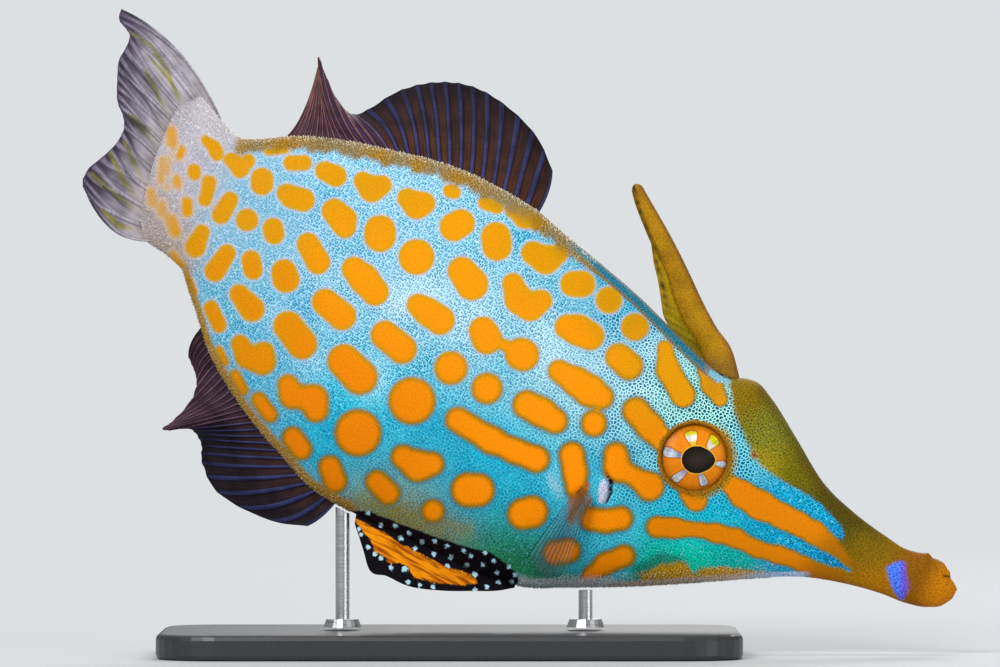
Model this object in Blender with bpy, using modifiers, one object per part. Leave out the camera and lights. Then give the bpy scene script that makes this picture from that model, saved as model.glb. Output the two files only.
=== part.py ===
"""Orange-spotted filefish, a still, life-size model that swims head down above a small display stand.

Sizes are in millimetres. Two frames are used. The side frame is the row's own: x towards the snout, y
across, with the fish's right side at -y, and z up from the floor. The body frame belongs to the fish: u from
the snout tip towards the tail, y across, and v from the body's axis up towards the back.
"""

import math

import bmesh
import bpy
import numpy as np

MM = 0.001
GAP = 0.3  # kept between neighbours that touch
SAME = 1e-6  # numbers closer than this are taken as equal

# The pose: the body's axis dips head down by PITCH, and the snout tip is here in the side frame.
PITCH = math.radians(27.5)
SNOUT_TIP_X, SNOUT_TIP_Z = 43.7, 6.6

# Where the body is parted, as u.
SNOUT_END = 11.0
HEAD_END = 36.9
TRUNK_END = 82.6
STALK_END = 88.0

# The back and the belly as seen from the side, (u, v).
BACK_LINE = (
    (0.0, 0.0), (0.7, 0.7), (2.0, 1.6), (4.0, 2.0), (6.4, 1.2), (8.7, 1.4), (13.0, 2.1), (16.4, 3.1),
    (21.3, 6.0), (25.4, 8.4), (27.2, 9.1), (28.5, 8.9), (30.0, 8.2), (32.1, 8.4), (36.1, 9.5), (41.5, 11.2),
    (46.6, 12.4), (51.7, 13.5), (54.2, 14.1), (57.8, 14.4), (62.3, 14.4), (66.5, 13.8), (70.5, 12.8),
    (75.4, 11.4), (80.0, 9.4), (83.0, 7.5), (84.3, 6.9), (85.4, 7.1), (87.7, 8.0), (89.4, 8.7),
)
BELLY_LINE = (
    (0.0, -1.1), (0.5, -2.0), (1.7, -2.9), (3.9, -3.6), (6.5, -3.9), (10.6, -4.8), (14.4, -6.1), (17.9, -8.0),
    (21.3, -10.1), (28.2, -14.3), (35.2, -18.1), (38.3, -19.7), (40.8, -20.3), (48.5, -20.7), (57.3, -21.1),
    (59.2, -21.1), (62.0, -20.8), (66.1, -19.3), (70.4, -17.6), (74.3, -15.5), (77.6, -13.2), (79.9, -10.9),
    (82.3, -8.6), (83.4, -7.5), (84.7, -7.0), (87.9, -6.6), (89.4, -6.5),
)
# Half the body's width at its widest, and how high up the section that is, as a share of the depth.
HALF_WIDTH = (
    (0.0, 0.9), (0.6, 1.5), (2.0, 2.0), (4.0, 2.1), (7.0, 1.8), (12.0, 2.2), (18.0, 3.3), (24.0, 4.5),
    (29.0, 5.3), (36.0, 6.1), (43.0, 6.4), (52.0, 6.1), (62.0, 5.1), (72.0, 3.8), (80.0, 2.6), (89.4, 1.2),
)
WAIST = ((0.0, 0.5), (12.0, 0.5), (28.0, 0.56), (45.0, 0.52), (89.4, 0.5))
# Above 1 the back and belly narrow to a keel, and at 1 the section is an ellipse.
KEELING = ((0.0, 0.85), (12.0, 0.95), (30.0, 1.0), (45.0, 1.15), (75.0, 1.15), (89.4, 0.9))
KEEL_HALF_WIDTH = 0.4

# The eyes, as u and v of the centre, and their half sizes. The ring of skin stands round each.
EYE_U, EYE_V = 29.5, -0.45
EYE_RADIUS, EYE_HALF_DEPTH, EYE_CENTRE_Y = 3.3, 2.6, 3.9
ORBIT_RING_RADIUS, ORBIT_RING_HALF_THICK, ORBIT_RING_SUNK = 3.4, 0.35, 0.05

# Openings of the head, as (u, v), with sizes.
NOSTRILS = ((24.0, 2.6), (25.3, 3.1))
NOSTRIL_RADIUS = 0.38
GILL_SLIT_TOP, GILL_SLIT_FOOT = (36.0, -5.9), (35.0, -8.0)
GILL_SLIT_HALF_WIDTH, GILL_SLIT_DEPTH = 0.3, 0.7
# The mouth's corner, half its height there and where it opens, and how far forward and across the cut runs.
MOUTH_U, MOUTH_V = 1.9, 0.25
MOUTH_CORNER_HALF, MOUTH_OPEN_HALF, MOUTH_REACH, MOUTH_CUT_HALF_WIDTH = 0.1, 0.39, 2.4, 3.0
MOUTH_RISE = math.radians(24.0)

# The first dorsal spine: front and hind edge in the side frame from just above its root to its tip, and half
# its thickness. Its root stands on the head between two places along the back.
SPINE_ROOT_FRONT_U, SPINE_ROOT_HIND_U = 28.7, 32.6
SPINE_FRONT = (
    (21.15, 30.6), (19.65, 32.8), (18.25, 35.4), (16.85, 38.4), (15.35, 41.4), (13.95, 43.9), (12.85, 45.8),
    (12.05, 46.8),
)
SPINE_HIND = (
    (17.35, 31.5), (16.15, 33.3), (15.15, 35.7), (14.4, 38.3), (13.05, 41.0), (12.05, 43.4), (11.5, 45.2),
    (11.2, 46.3),
)
SPINE_HALF_THICK = (1.25, 1.1, 1.0, 0.92, 0.82, 0.74, 0.65, 0.5, 0.3)
SPINE_SIDES, SPINE_BARBS, BARB_LENGTH = 12, 13, 0.32
# The web behind the spine: hind edge in the side frame, each against a share of the spine's length.
WEB_EDGE = (
    (0.57, 12.85, 39.8), (0.47, 13.55, 37.5), (0.34, 14.0, 35.5), (0.2, 14.3, 33.8), (0.09, 15.2, 33.0),
)

# Fins. Each station is (place of the root, middle, tip), the middle and tip as x, y, z in the side frame.
# The root's place is u along the back or belly, or v along the end of the tail stalk.
SOFT_DORSAL = (
    (54.5, (2.85, 0.2, 46.2), (3.25, 0.5, 48.5)),
    (56.6, (1.05, 0.5, 49.0), (1.85, 1.2, 51.6)),
    (60.3, (-2.75, 1.0, 51.6), (-2.65, 2.4, 55.9)),
    (64.5, (-7.35, 1.3, 53.2), (-7.75, 3.0, 57.4)),
    (67.7, (-10.95, 1.3, 53.2), (-12.15, 3.0, 56.5)),
    (70.4, (-14.55, 1.0, 52.4), (-16.75, 2.4, 54.1)),
    (72.3, (-16.75, 0.0, 52.9), (-18.5, 0.5, 55.8)),
    (73.9, (-18.65, -0.9, 54.3), (-19.85, -1.6, 59.0)),
    (77.2, (-19.85, -0.4, 55.0), (-19.95, 0.0, 59.3)),
    (80.5, (-21.55, 0.5, 54.3), (-20.2, 1.5, 58.8)),
)
SOFT_DORSAL_RAYS = 29
ANAL = (
    (59.0, (-19.75, 0.2, 13.9), (-21.3, 0.4, 12.9)),
    (59.9, (-21.6, 0.6, 13.9), (-24.2, 1.2, 13.2)),
    (60.9, (-23.8, 1.0, 14.7), (-27.4, 2.0, 14.4)),
    (62.2, (-26.0, 1.2, 16.3), (-30.3, 2.7, 16.2)),
    (64.0, (-27.4, 1.2, 18.6), (-31.8, 2.8, 18.9)),
    (66.4, (-28.3, 1.0, 20.9), (-32.0, 2.4, 21.2)),
    (68.8, (-29.2, 0.2, 22.5), (-33.2, 0.6, 22.7)),
    (70.9, (-30.35, -0.6, 23.7), (-35.4, -1.3, 22.5)),
    (72.6, (-31.15, -0.7, 24.3), (-35.65, -1.0, 22.7)),
    (74.3, (-31.5, -0.2, 25.4), (-34.9, 0.2, 23.2)),
    (76.5, (-31.9, 0.5, 28.2), (-32.2, 1.2, 26.3)),
    (79.0, (-32.9, 0.3, 31.2), (-33.0, 0.7, 29.6)),
)
ANAL_RAYS = 27
CAUDAL = (
    (8.0, (-34.25, 0.0, 60.5), (-40.05, 0.0, 64.5)),
    (6.2, (-36.25, 0.0, 58.9), (-39.05, 0.0, 62.2)),
    (4.0, (-37.65, 0.0, 56.3), (-40.15, 0.0, 59.2)),
    (1.8, (-37.95, 0.0, 53.7), (-40.25, 0.0, 55.8)),
    (-0.3, (-38.15, 0.0, 51.1), (-39.55, 0.0, 52.8)),
    (-2.2, (-39.15, 0.0, 48.4), (-41.15, 0.0, 50.3)),
    (-3.9, (-40.35, 0.0, 46.1), (-43.25, 0.0, 48.5)),
    (-5.2, (-40.65, 0.0, 43.9), (-43.75, 0.0, 47.1)),
    (-6.3, (-40.25, 0.0, 42.2), (-42.85, 0.0, 45.3)),
)
CAUDAL_RAYS = 12
CAUDAL_PLEATS, PLEAT_DEPTH = 3.5, 1.0
# The flap between the belly and the vent has no rays.
VENTRAL_FLAP = (
    (40.7, (-1.7, 0.0, 6.9), (-1.65, 0.0, 6.45)),
    (44.1, (-4.85, 0.0, 7.5), (-4.75, 0.0, 6.4)),
    (47.5, (-8.0, 0.0, 8.2), (-7.95, 0.0, 6.45)),
    (50.7, (-11.05, 0.0, 9.1), (-11.15, 0.0, 6.9)),
    (53.4, (-13.4, 0.0, 10.2), (-13.35, 0.0, 7.9)),
    (55.3, (-15.15, 0.0, 11.0), (-15.15, 0.0, 8.7)),
    (56.3, (-15.95, 0.0, 12.2), (-15.75, 0.0, 10.8)),
    (56.9, (-16.5, 0.0, 13.4), (-16.35, 0.0, 12.8)),
)
# The right pectoral fin: root, middle and tip of each ray as x and z, and how far they stand out from the flank.
PECTORAL = (
    ((6.25, 16.9), (3.65, 14.1), (0.65, 9.8)),
    ((6.45, 16.5), (4.25, 13.4), (1.65, 8.4)),
    ((6.65, 16.1), (5.05, 12.8), (3.05, 7.8)),
    ((6.85, 15.7), (5.85, 12.4), (4.55, 8.3)),
)
PECTORAL_STANDS_OUT = (0.45, 1.15, 1.5)
PECTORAL_RAYS = 11

# Half the thickness of a fin's membrane, of its edge, and of its root.
MEMBRANE_HALF_THICK = 0.25
MEMBRANE_EDGE_HALF_THICK = 0.16
FIN_ROOT_HALF_THICK, CAUDAL_ROOT_HALF_THICK, SLIM_ROOT_HALF_THICK = 0.42, 0.75, 0.3
RAY_HEIGHT = 0.2
RAY_HALF_WIDTH = 0.3  # as a share of the way to the next ray
# Rays stand closer towards the tail: the first gap is this much of the mean one.
RAY_SPREAD = 1.45
PLAIN_FIN_COLUMNS = 15  # for a fin without rays

# The stand: a steel plate and two short rods up to the body.
BASE_LENGTH, BASE_DEPTH, BASE_THICK = 58.0, 32.0, 2.5
BASE_CENTRE_X = -7.0
BASE_CORNER_RADIUS, BASE_EDGE_BEVEL = 6.0, 0.5
ROD_RADIUS, ROD_FOOT_RADIUS, ROD_FOOT_HEIGHT = 0.7, 1.9, 0.8
ROD_FRONT_X, ROD_HIND_X = 6.55, -17.75
ROD_SIDES = 20

COLOURS = {
    "spotted_skin": ((0.18, 0.62, 0.82), 0.45, 0.0),
    "snout_skin": ((0.62, 0.33, 0.03), 0.5, 0.0),
    "tail_skin": ((0.55, 0.53, 0.55), 0.5, 0.0),
    "dark_fin": ((0.08, 0.06, 0.09), 0.5, 0.0),
    "tail_fin": ((0.42, 0.41, 0.46), 0.5, 0.0),
    "clear_fin": ((0.35, 0.42, 0.42), 0.4, 0.0),
    "flap_skin": ((0.05, 0.03, 0.05), 0.5, 0.0),
    "spine_skin": ((0.55, 0.36, 0.03), 0.5, 0.0),
    "eye": ((0.9, 0.4, 0.02), 0.15, 0.0),
    "plate_steel": ((0.03, 0.03, 0.032), 0.45, 0.6),
    "rod_steel": ((0.62, 0.62, 0.63), 0.3, 1.0),
}


def smooth_line(points):
    """A function that reads a smooth curve through points given as (place, value) or (place, x, y, ...)."""
    table = np.array(points, float)
    place, value = table[:, 0], table[:, 1:]
    slope = np.gradient(value, place, axis=0)

    def read(at):
        at = np.clip(np.asarray(at, float), place[0], place[-1])
        i = np.clip(np.searchsorted(place, at, side="right") - 1, 0, len(place) - 2)
        step = (place[i + 1] - place[i])[..., None]
        t = (at - place[i])[..., None] / step
        left = (1 + 2 * t) * (1 - t) ** 2 * value[i] + t * (1 - t) ** 2 * step * slope[i]
        right = t * t * (3 - 2 * t) * value[i + 1] + t * t * (t - 1) * step * slope[i + 1]
        found = left + right
        return found[..., 0] if found.shape[-1] == 1 else found

    return read


back = smooth_line(BACK_LINE)
belly = smooth_line(BELLY_LINE)
half_width = smooth_line(HALF_WIDTH)
waist = smooth_line(WAIST)
keeling = smooth_line(KEELING)


def to_side(u, y, v):
    """Body frame to side frame, as an array of x, y, z."""
    u, y, v = np.broadcast_arrays(*(np.asarray(a, float) for a in (u, y, v)))
    x = SNOUT_TIP_X - u * math.cos(PITCH) + v * math.sin(PITCH)
    z = SNOUT_TIP_Z + u * math.sin(PITCH) + v * math.cos(PITCH)
    return np.stack([x, y, z], axis=-1)


def to_body(x, z):
    """u and v of a place in the side frame."""
    back_by, up_by = SNOUT_TIP_X - x, z - SNOUT_TIP_Z
    return (
        back_by * math.cos(PITCH) + up_by * math.sin(PITCH),
        -back_by * math.sin(PITCH) + up_by * math.cos(PITCH),
    )


def across(u, height):
    """Half the body's width at u, where height is -1 at the belly, 0 at the waist and 1 at the back."""
    fullness = np.sqrt(np.clip(1 - np.asarray(height, float) ** 2, 0, 1)) ** keeling(u)
    return KEEL_HALF_WIDTH + (half_width(u) - KEEL_HALF_WIDTH) * fullness


def flank(u, v):
    """How far the flank stands out from the middle plane at u and v."""
    low, high = belly(u), back(u)
    middle = low + waist(u) * (high - low)
    height = np.where(v > middle, (v - middle) / (high - middle), (v - middle) / (middle - low))
    return across(u, np.clip(height, -1, 1))


def new_mesh(name, points, faces):
    """A smooth mesh from points in side-frame millimetres, with its faces turned outwards."""
    mesh = bpy.data.meshes.new(name)
    mesh.from_pydata([tuple(p * MM) for p in np.asarray(points, float)], [], faces)
    shape = bmesh.new()
    shape.from_mesh(mesh)
    bmesh.ops.recalc_face_normals(shape, faces=shape.faces)
    shape.to_mesh(mesh)
    shape.free()
    mesh.shade_smooth()
    return mesh


def place(name, mesh, colour):
    """Links a mesh as a named object of the fish, with its material."""
    obj = bpy.data.objects.new(name, mesh)
    bpy.data.collections["filefish"].objects.link(obj)
    mesh.materials.clear()
    mesh.materials.append(material(colour))
    return obj


def material(name):
    if name in bpy.data.materials:
        return bpy.data.materials[name]
    colour, roughness, metallic = COLOURS[name]
    made = bpy.data.materials.new(name)
    made.use_nodes = True
    shader = made.node_tree.nodes["Principled BSDF"]
    shader.inputs["Base Color"].default_value = (*colour, 1.0)
    shader.inputs["Roughness"].default_value = roughness
    shader.inputs["Metallic"].default_value = metallic
    return made


def helper(name, mesh):
    """A piece that is joined to, or cut from, a node: it lies in its own collection and isn't rendered."""
    obj = bpy.data.objects.new(name, mesh)
    bpy.data.collections["helpers"].objects.link(obj)
    obj.hide_render = True
    obj.display_type = "WIRE"
    return obj


def combine(obj, operation, pieces):
    """Joins the helpers to obj, or cuts them from it, and removes them."""
    group = bpy.data.collections.new(operation.lower())
    for piece in pieces:
        group.objects.link(piece)
    boolean = obj.modifiers.new(operation.lower(), "BOOLEAN")
    boolean.operation = operation
    boolean.operand_type = "COLLECTION"
    boolean.collection = group
    boolean.solver = "EXACT"
    bpy.context.view_layer.update()
    made = bpy.data.meshes.new_from_object(obj.evaluated_get(bpy.context.evaluated_depsgraph_get()))
    obj.modifiers.remove(boolean)
    worn = obj.data.materials[0]
    obj.data = made
    made.materials.clear()
    made.materials.append(worn)
    for piece in pieces:
        bpy.data.objects.remove(piece)
    bpy.data.collections.remove(group)


def rings_to_mesh(name, rings):
    """A closed mesh through rings of points, each ring as long as the next, with flat ends."""
    count = len(rings[0])
    points = [p for ring in rings for p in ring]
    faces = []
    for i in range(len(rings) - 1):
        for j in range(count):
            a, b = i * count + j, i * count + (j + 1) % count
            faces += [(a, b, b + count), (a, b + count, a + count)]
    for ring, first in ((rings[0], 0), (rings[-1], (len(rings) - 1) * count)):
        centre = len(points)
        points.append(np.mean(ring, axis=0))
        faces += [(centre, first + j, first + (j + 1) % count) for j in range(count)]
    return new_mesh(name, points, faces)


def body_ring(u, count):
    """The section of the body at u, as points that leave a flat strip along the back and the belly."""
    turn = 2 * math.pi * (np.arange(count) + 0.5) / count
    height = np.cos(turn)
    low, high = belly(u), back(u)
    middle = low + waist(u) * (high - low)
    v = middle + np.where(height > 0, height * (high - middle), height * (middle - low))
    # The strip itself lies on the outline.
    v = np.where(height > np.cos(turn[0]) - SAME, high, np.where(height < -np.cos(turn[0]) + SAME, low, v))
    y = np.sign(np.sin(turn)) * across(u, height)
    return to_side(np.full(count, u), y, v)


def body_length(name, start, end, step, count, colour):
    """The length of body between two places, as a closed loft."""
    places = np.linspace(start, end, max(2, round((end - start) / step) + 1))
    return place(name, rings_to_mesh(name, [body_ring(u, count) for u in places]), colour)


def ellipsoid(name, centre, half_sizes, segments=24, rows=12):
    """The mesh of an ellipsoid whose half sizes lie along u, y and v."""
    shape = bmesh.new()
    bmesh.ops.create_uvsphere(shape, u_segments=segments, v_segments=rows, radius=1.0)
    for vert in shape.verts:
        # The sphere's own axis is turned to point across the fish.
        along, up, over = vert.co.x * half_sizes[0], vert.co.y * half_sizes[2], vert.co.z * half_sizes[1]
        vert.co = to_side(centre[0] + along, centre[1] + over, centre[2] + up) * MM
    shape.normal_update()
    bmesh.ops.recalc_face_normals(shape, faces=shape.faces)
    mesh = bpy.data.meshes.new(name)
    shape.to_mesh(mesh)
    shape.free()
    mesh.shade_smooth()
    return mesh


def orbit_ring(side):
    """The raised ring of skin round the eye, lying on the flank."""
    around, thick = 28, 8
    rings = []
    for i in range(around):
        turn = 2 * math.pi * i / around
        u = EYE_U + ORBIT_RING_RADIUS * math.cos(turn)
        v = EYE_V + ORBIT_RING_RADIUS * math.sin(turn)
        ring = []
        for j in range(thick):
            roll = 2 * math.pi * j / thick
            out = ORBIT_RING_HALF_THICK * math.cos(roll)
            lift = ORBIT_RING_HALF_THICK * math.sin(roll)
            y = side * (flank(u, v) - ORBIT_RING_SUNK + lift)
            ring.append(to_side(u + out * math.cos(turn), y, v + out * math.sin(turn)))
        rings.append(ring)
    points = [p for ring in rings for p in ring]
    faces = []
    for i in range(around):
        for j in range(thick):
            a, b = i * thick + j, i * thick + (j + 1) % thick
            c, d = ((i + 1) % around) * thick + (j + 1) % thick, ((i + 1) % around) * thick + j
            faces.append((a, b, c, d))
    return helper("orbit_ring", new_mesh("orbit_ring", points, faces))


def make_head():
    head = body_length(
        "head", SNOUT_END + GAP / 2, HEAD_END - GAP / 2, step=1.0, count=40, colour="spotted_skin"
    )
    combine(head, "UNION", [orbit_ring(side) for side in (-1, 1)])
    cutters = []
    for side in (-1, 1):
        socket = (EYE_RADIUS + GAP, EYE_HALF_DEPTH + GAP, EYE_RADIUS + GAP)
        centre = (EYE_U, side * EYE_CENTRE_Y, EYE_V)
        cutters.append(helper("socket", ellipsoid("socket", centre, socket, segments=28, rows=14)))
        for u, v in NOSTRILS:
            centre = (u, side * float(flank(u, v)), v)
            nostril = ellipsoid("nostril", centre, (NOSTRIL_RADIUS,) * 3, segments=8, rows=6)
            cutters.append(helper("nostril", nostril))
        cutters.append(gill_slit(side))
    combine(head, "DIFFERENCE", cutters)
    return head


def gill_slit(side):
    """A short curved slit in front of the pectoral fin, as a row of flat lozenges across it."""
    rings = []
    for share in np.linspace(0, 1, 7):
        u = GILL_SLIT_TOP[0] + (GILL_SLIT_FOOT[0] - GILL_SLIT_TOP[0]) * share
        v = GILL_SLIT_TOP[1] + (GILL_SLIT_FOOT[1] - GILL_SLIT_TOP[1]) * share
        wide = GILL_SLIT_HALF_WIDTH * (0.25 + 0.75 * math.sin(math.pi * share))
        out = float(flank(u, v))
        corners = ((-wide, out + 0.5), (wide, out + 0.5), (wide * 0.4, out - GILL_SLIT_DEPTH),
                   (-wide * 0.4, out - GILL_SLIT_DEPTH))
        rings.append([to_side(u + du, side * y, v) for du, y in corners])
    return helper("gill_slit", rings_to_mesh("gill_slit", rings))


def make_snout():
    """The tube of the snout with its lips, parted at the front by the mouth."""
    near = [0.08, 0.35, 0.8, 1.4, 2.1, 2.9, 3.7, 4.5, 5.3, 6.2]
    far = list(np.linspace(7.2, SNOUT_END - GAP / 2, 4))
    snout = place("snout", rings_to_mesh("snout", [body_ring(u, 28) for u in near + far]), "snout_skin")
    corners = []
    for forward, height in (
        (MOUTH_REACH, MOUTH_OPEN_HALF), (0.0, MOUTH_CORNER_HALF), (0.0, -MOUTH_CORNER_HALF),
        (MOUTH_REACH, -MOUTH_OPEN_HALF),
    ):
        u = MOUTH_U - forward * math.cos(MOUTH_RISE)
        v = MOUTH_V + forward * math.sin(MOUTH_RISE) + height
        corners.append((u, v))
    rings = [[to_side(u, y, v) for u, v in corners] for y in (-MOUTH_CUT_HALF_WIDTH, MOUTH_CUT_HALF_WIDTH)]
    combine(snout, "DIFFERENCE", [helper("mouth", rings_to_mesh("mouth", rings))])
    return snout


def make_eyes():
    for name, side in (("eye_right", -1), ("eye_left", 1)):
        size = (EYE_RADIUS, EYE_HALF_DEPTH, EYE_RADIUS)
        place(name, ellipsoid(name, (EYE_U, side * EYE_CENTRE_Y, EYE_V), size), "eye")


def ray_places(count):
    """Where the rays stand along a fin, from 0 to 1, closer together towards its end."""
    share = np.linspace(0, 1, count)
    return share * (RAY_SPREAD - (RAY_SPREAD - 1) * share)


def fin_columns(rays):
    """Places along the fin for the columns of points, and how much of a ray each holds."""
    if not len(rays):
        return np.linspace(0, 1, PLAIN_FIN_COLUMNS), np.zeros(PLAIN_FIN_COLUMNS)
    gaps = np.gradient(rays)
    places, crest = [], []
    for ray, gap in zip(rays, gaps, strict=True):
        for shift, share in ((-RAY_HALF_WIDTH, 0.0), (0.0, 1.0), (RAY_HALF_WIDTH, 0.0)):
            places.append(ray + shift * gap)
            crest.append(share)
    places, crest = np.array(places), np.array(crest)
    inside = (places > 0) & (places < 1)
    places = np.concatenate([[0.0], places[inside], [1.0]])
    crest = np.concatenate([[1.0], crest[inside], [1.0]])
    return places, crest


def fin(
    name, roots, middles, tips, station_places, rays, rows, colour, wave=None, root_half=FIN_ROOT_HALF_THICK
):
    """A fin as one closed sheet from its root to its tips, with its rays as ridges on both faces.

    roots is a function of the place along the fin. Each ray bends from root through middle to tip.
    wave, if given, moves a point across by an amount that depends on its place along the fin and up it.
    """
    middle_at = smooth_line([(s, *p) for s, p in zip(station_places, middles, strict=True)])
    tip_at = smooth_line([(s, *p) for s, p in zip(station_places, tips, strict=True)])
    places, crest = fin_columns(rays)
    up = np.linspace(0, 1, rows)[None, :, None]
    root, middle, tip = roots(places), middle_at(places), tip_at(places)
    bend = 2 * middle - (root + tip) / 2
    sheet = (
        root[:, None] * (1 - up) ** 2 + 2 * bend[:, None] * up * (1 - up) + tip[:, None] * up**2
    )
    if wave is not None:
        sheet[:, :, 1] += wave(places[:, None], up[:, :, 0])
    along = np.gradient(sheet, axis=0)
    upward = np.gradient(sheet, axis=1)
    normal = np.cross(along, upward)
    normal /= np.linalg.norm(normal, axis=2, keepdims=True)
    share = up[0, :, 0][None, :]
    thick = MEMBRANE_HALF_THICK + (root_half - MEMBRANE_HALF_THICK) * np.clip(1 - 4 * share, 0, 1)
    thick = thick - (MEMBRANE_HALF_THICK - MEMBRANE_EDGE_HALF_THICK) * np.clip(5 * share - 4, 0, 1)
    ridge = RAY_HEIGHT * crest[:, None] * np.clip(4 * share, 0, 1) * (1 - 0.6 * share)
    offset = (thick + (ridge if len(rays) else 0.0))[:, :, None] * normal
    return place(name, sheet_to_mesh(name, sheet + offset, sheet - offset), colour)


def sheet_to_mesh(name, front, rear):
    """A closed mesh between two grids of points that face each other, split into triangles alike."""
    wide, tall = front.shape[:2]
    points = np.concatenate([front.reshape(-1, 3), rear.reshape(-1, 3)])
    shift = wide * tall
    faces = []
    for i in range(wide - 1):
        for j in range(tall - 1):
            a, b = i * tall + j, (i + 1) * tall + j
            c, d = b + 1, a + 1
            faces += [(a, b, c), (a, c, d)]
            faces += [(a + shift, c + shift, b + shift), (a + shift, d + shift, c + shift)]
    rim = [i * tall for i in range(wide)] + [(wide - 1) * tall + j for j in range(1, tall)]
    rim += [i * tall + tall - 1 for i in range(wide - 2, -1, -1)] + [j for j in range(tall - 2, 0, -1)]
    for k, a in enumerate(rim):
        b = rim[(k + 1) % len(rim)]
        faces += [(a, a + shift, b + shift), (a, b + shift, b)]
    return new_mesh(name, points, faces)


def fin_on_outline(name, stations, outline, outward, rays, rows, colour):
    """A fin that grows from the back (outward 1) or the belly (outward -1), clear of it by GAP."""
    roots_u = np.array([s[0] for s in stations])
    first, last = roots_u[0], roots_u[-1]

    def roots(places):
        u = first + (last - first) * places
        return to_side(u, 0.0 * u, outline(u) + outward * GAP)

    station_places = (roots_u - first) / (last - first)
    middles, tips = [s[1] for s in stations], [s[2] for s in stations]
    return fin(name, roots, middles, tips, station_places, rays, rows, colour)


def make_caudal_fin():
    heights = np.array([s[0] for s in CAUDAL])

    def roots(places):
        v = heights[0] + (heights[-1] - heights[0]) * places
        return to_side(np.full(len(places), STALK_END + GAP), 0.0 * v, v)

    def pleats(place_along, up):
        return PLEAT_DEPTH * up**1.3 * np.sin(2 * math.pi * CAUDAL_PLEATS * place_along + 0.6)

    station_places = (heights - heights[0]) / (heights[-1] - heights[0])
    rays = np.linspace(0, 1, CAUDAL_RAYS)
    middles, tips = [s[1] for s in CAUDAL], [s[2] for s in CAUDAL]
    fin(
        "caudal_fin", roots, middles, tips, station_places, rays, 9, "tail_fin", pleats,
        CAUDAL_ROOT_HALF_THICK,
    )


def make_pectoral_fins():
    station_places = np.linspace(0, 1, len(PECTORAL))

    def stand_out(point, by, side):
        x, z = point
        u, v = to_body(x, z)
        return (x, side * (float(flank(u, v)) + by), z)

    for name, side in (("pectoral_fin_right", -1), ("pectoral_fin_left", 1)):
        parts = [
            [stand_out(station[k], PECTORAL_STANDS_OUT[k], side) for station in PECTORAL] for k in range(3)
        ]
        roots = smooth_line([(s, *p) for s, p in zip(station_places, parts[0], strict=True)])
        rays = np.linspace(0, 1, PECTORAL_RAYS)
        fin(
            name, roots, parts[1], parts[2], station_places, rays, 6, "clear_fin",
            root_half=SLIM_ROOT_HALF_THICK,
        )


def spine_edges():
    """Front and hind edges of the spine as smooth functions of the share of its length."""
    front_u, hind_u = SPINE_ROOT_FRONT_U, SPINE_ROOT_HIND_U
    roots = [to_side(u, 0.0, back(u) + GAP)[[0, 2]] for u in (front_u, hind_u)]
    shares = np.linspace(0, 1, len(SPINE_FRONT) + 1)
    front = smooth_line([(s, *p) for s, p in zip(shares, [roots[0], *SPINE_FRONT], strict=True)])
    hind = smooth_line([(s, *p) for s, p in zip(shares, [roots[1], *SPINE_HIND], strict=True)])
    thick = smooth_line(list(zip(shares, SPINE_HALF_THICK, strict=True)))
    return front, hind, thick


def make_spine():
    """The erect first spine: oval across, with a row of small barbs down each side of its hind edge."""
    front, hind, thick = spine_edges()
    turn = 2 * math.pi * (np.arange(SPINE_SIDES) + 0.5) / SPINE_SIDES
    rings = []
    steps = 2 * SPINE_BARBS + 4
    for i in range(steps + 1):
        share = i / steps
        ahead, behind = front(share), hind(share)
        centre, reach = (ahead + behind) / 2, (ahead - behind) / 2
        barb = BARB_LENGTH * (1 - 0.4 * share) if i % 2 == 0 and 2 < i < steps - 1 else 0.0
        hind_side = np.abs(np.abs(turn - math.pi) - math.pi / SPINE_SIDES) < SAME
        along = np.cos(turn)
        x = centre[0] + reach[0] * along
        z = centre[1] + reach[1] * along
        y = thick(share) * np.sin(turn)
        backwards = -reach / np.linalg.norm(reach)
        x = np.where(hind_side, x + backwards[0] * barb, x)
        z = np.where(hind_side, z + backwards[1] * barb - 0.5 * barb, z)
        y = np.where(hind_side, y * (1 + 0.4 * (barb > 0)), y)
        if i == 0:  # the root follows the head
            u = SPINE_ROOT_HIND_U + (SPINE_ROOT_FRONT_U - SPINE_ROOT_HIND_U) * (along + 1) / 2
            root = to_side(u, y, back(u) + GAP)
            x, z = root[:, 0], root[:, 2]
        rings.append(np.stack([x, y, z], axis=1))
    place("dorsal_spine", rings_to_mesh("dorsal_spine", rings), "spine_skin")


def make_spine_web():
    """The low web of skin that ties the hind edge of the spine to the back."""
    hind = spine_edges()[1]
    clear = GAP + BARB_LENGTH

    def roots(places):
        share = WEB_EDGE[0][0] + (WEB_EDGE[-1][0] - WEB_EDGE[0][0]) * places
        points = hind(share)
        edge = edge_at(places)
        way = edge - points
        way /= np.linalg.norm(way, axis=1, keepdims=True)
        points = points + way * clear
        return np.stack([points[:, 0], 0 * places, points[:, 1]], axis=1)

    shares = np.array([s[0] for s in WEB_EDGE])
    station_places = (shares - shares[0]) / (shares[-1] - shares[0])
    edge_at = smooth_line([(s, e[1], e[2]) for s, e in zip(station_places, WEB_EDGE, strict=True)])
    starts, tips = roots(station_places), [(e[1], 0.0, e[2]) for e in WEB_EDGE]
    middles = [(np.array(a) + np.array(b)) / 2 for a, b in zip(starts, tips, strict=True)]
    fin(
        "spine_web", roots, middles, tips, station_places, (), 4, "spine_skin",
        root_half=SLIM_ROOT_HALF_THICK,
    )


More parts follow.
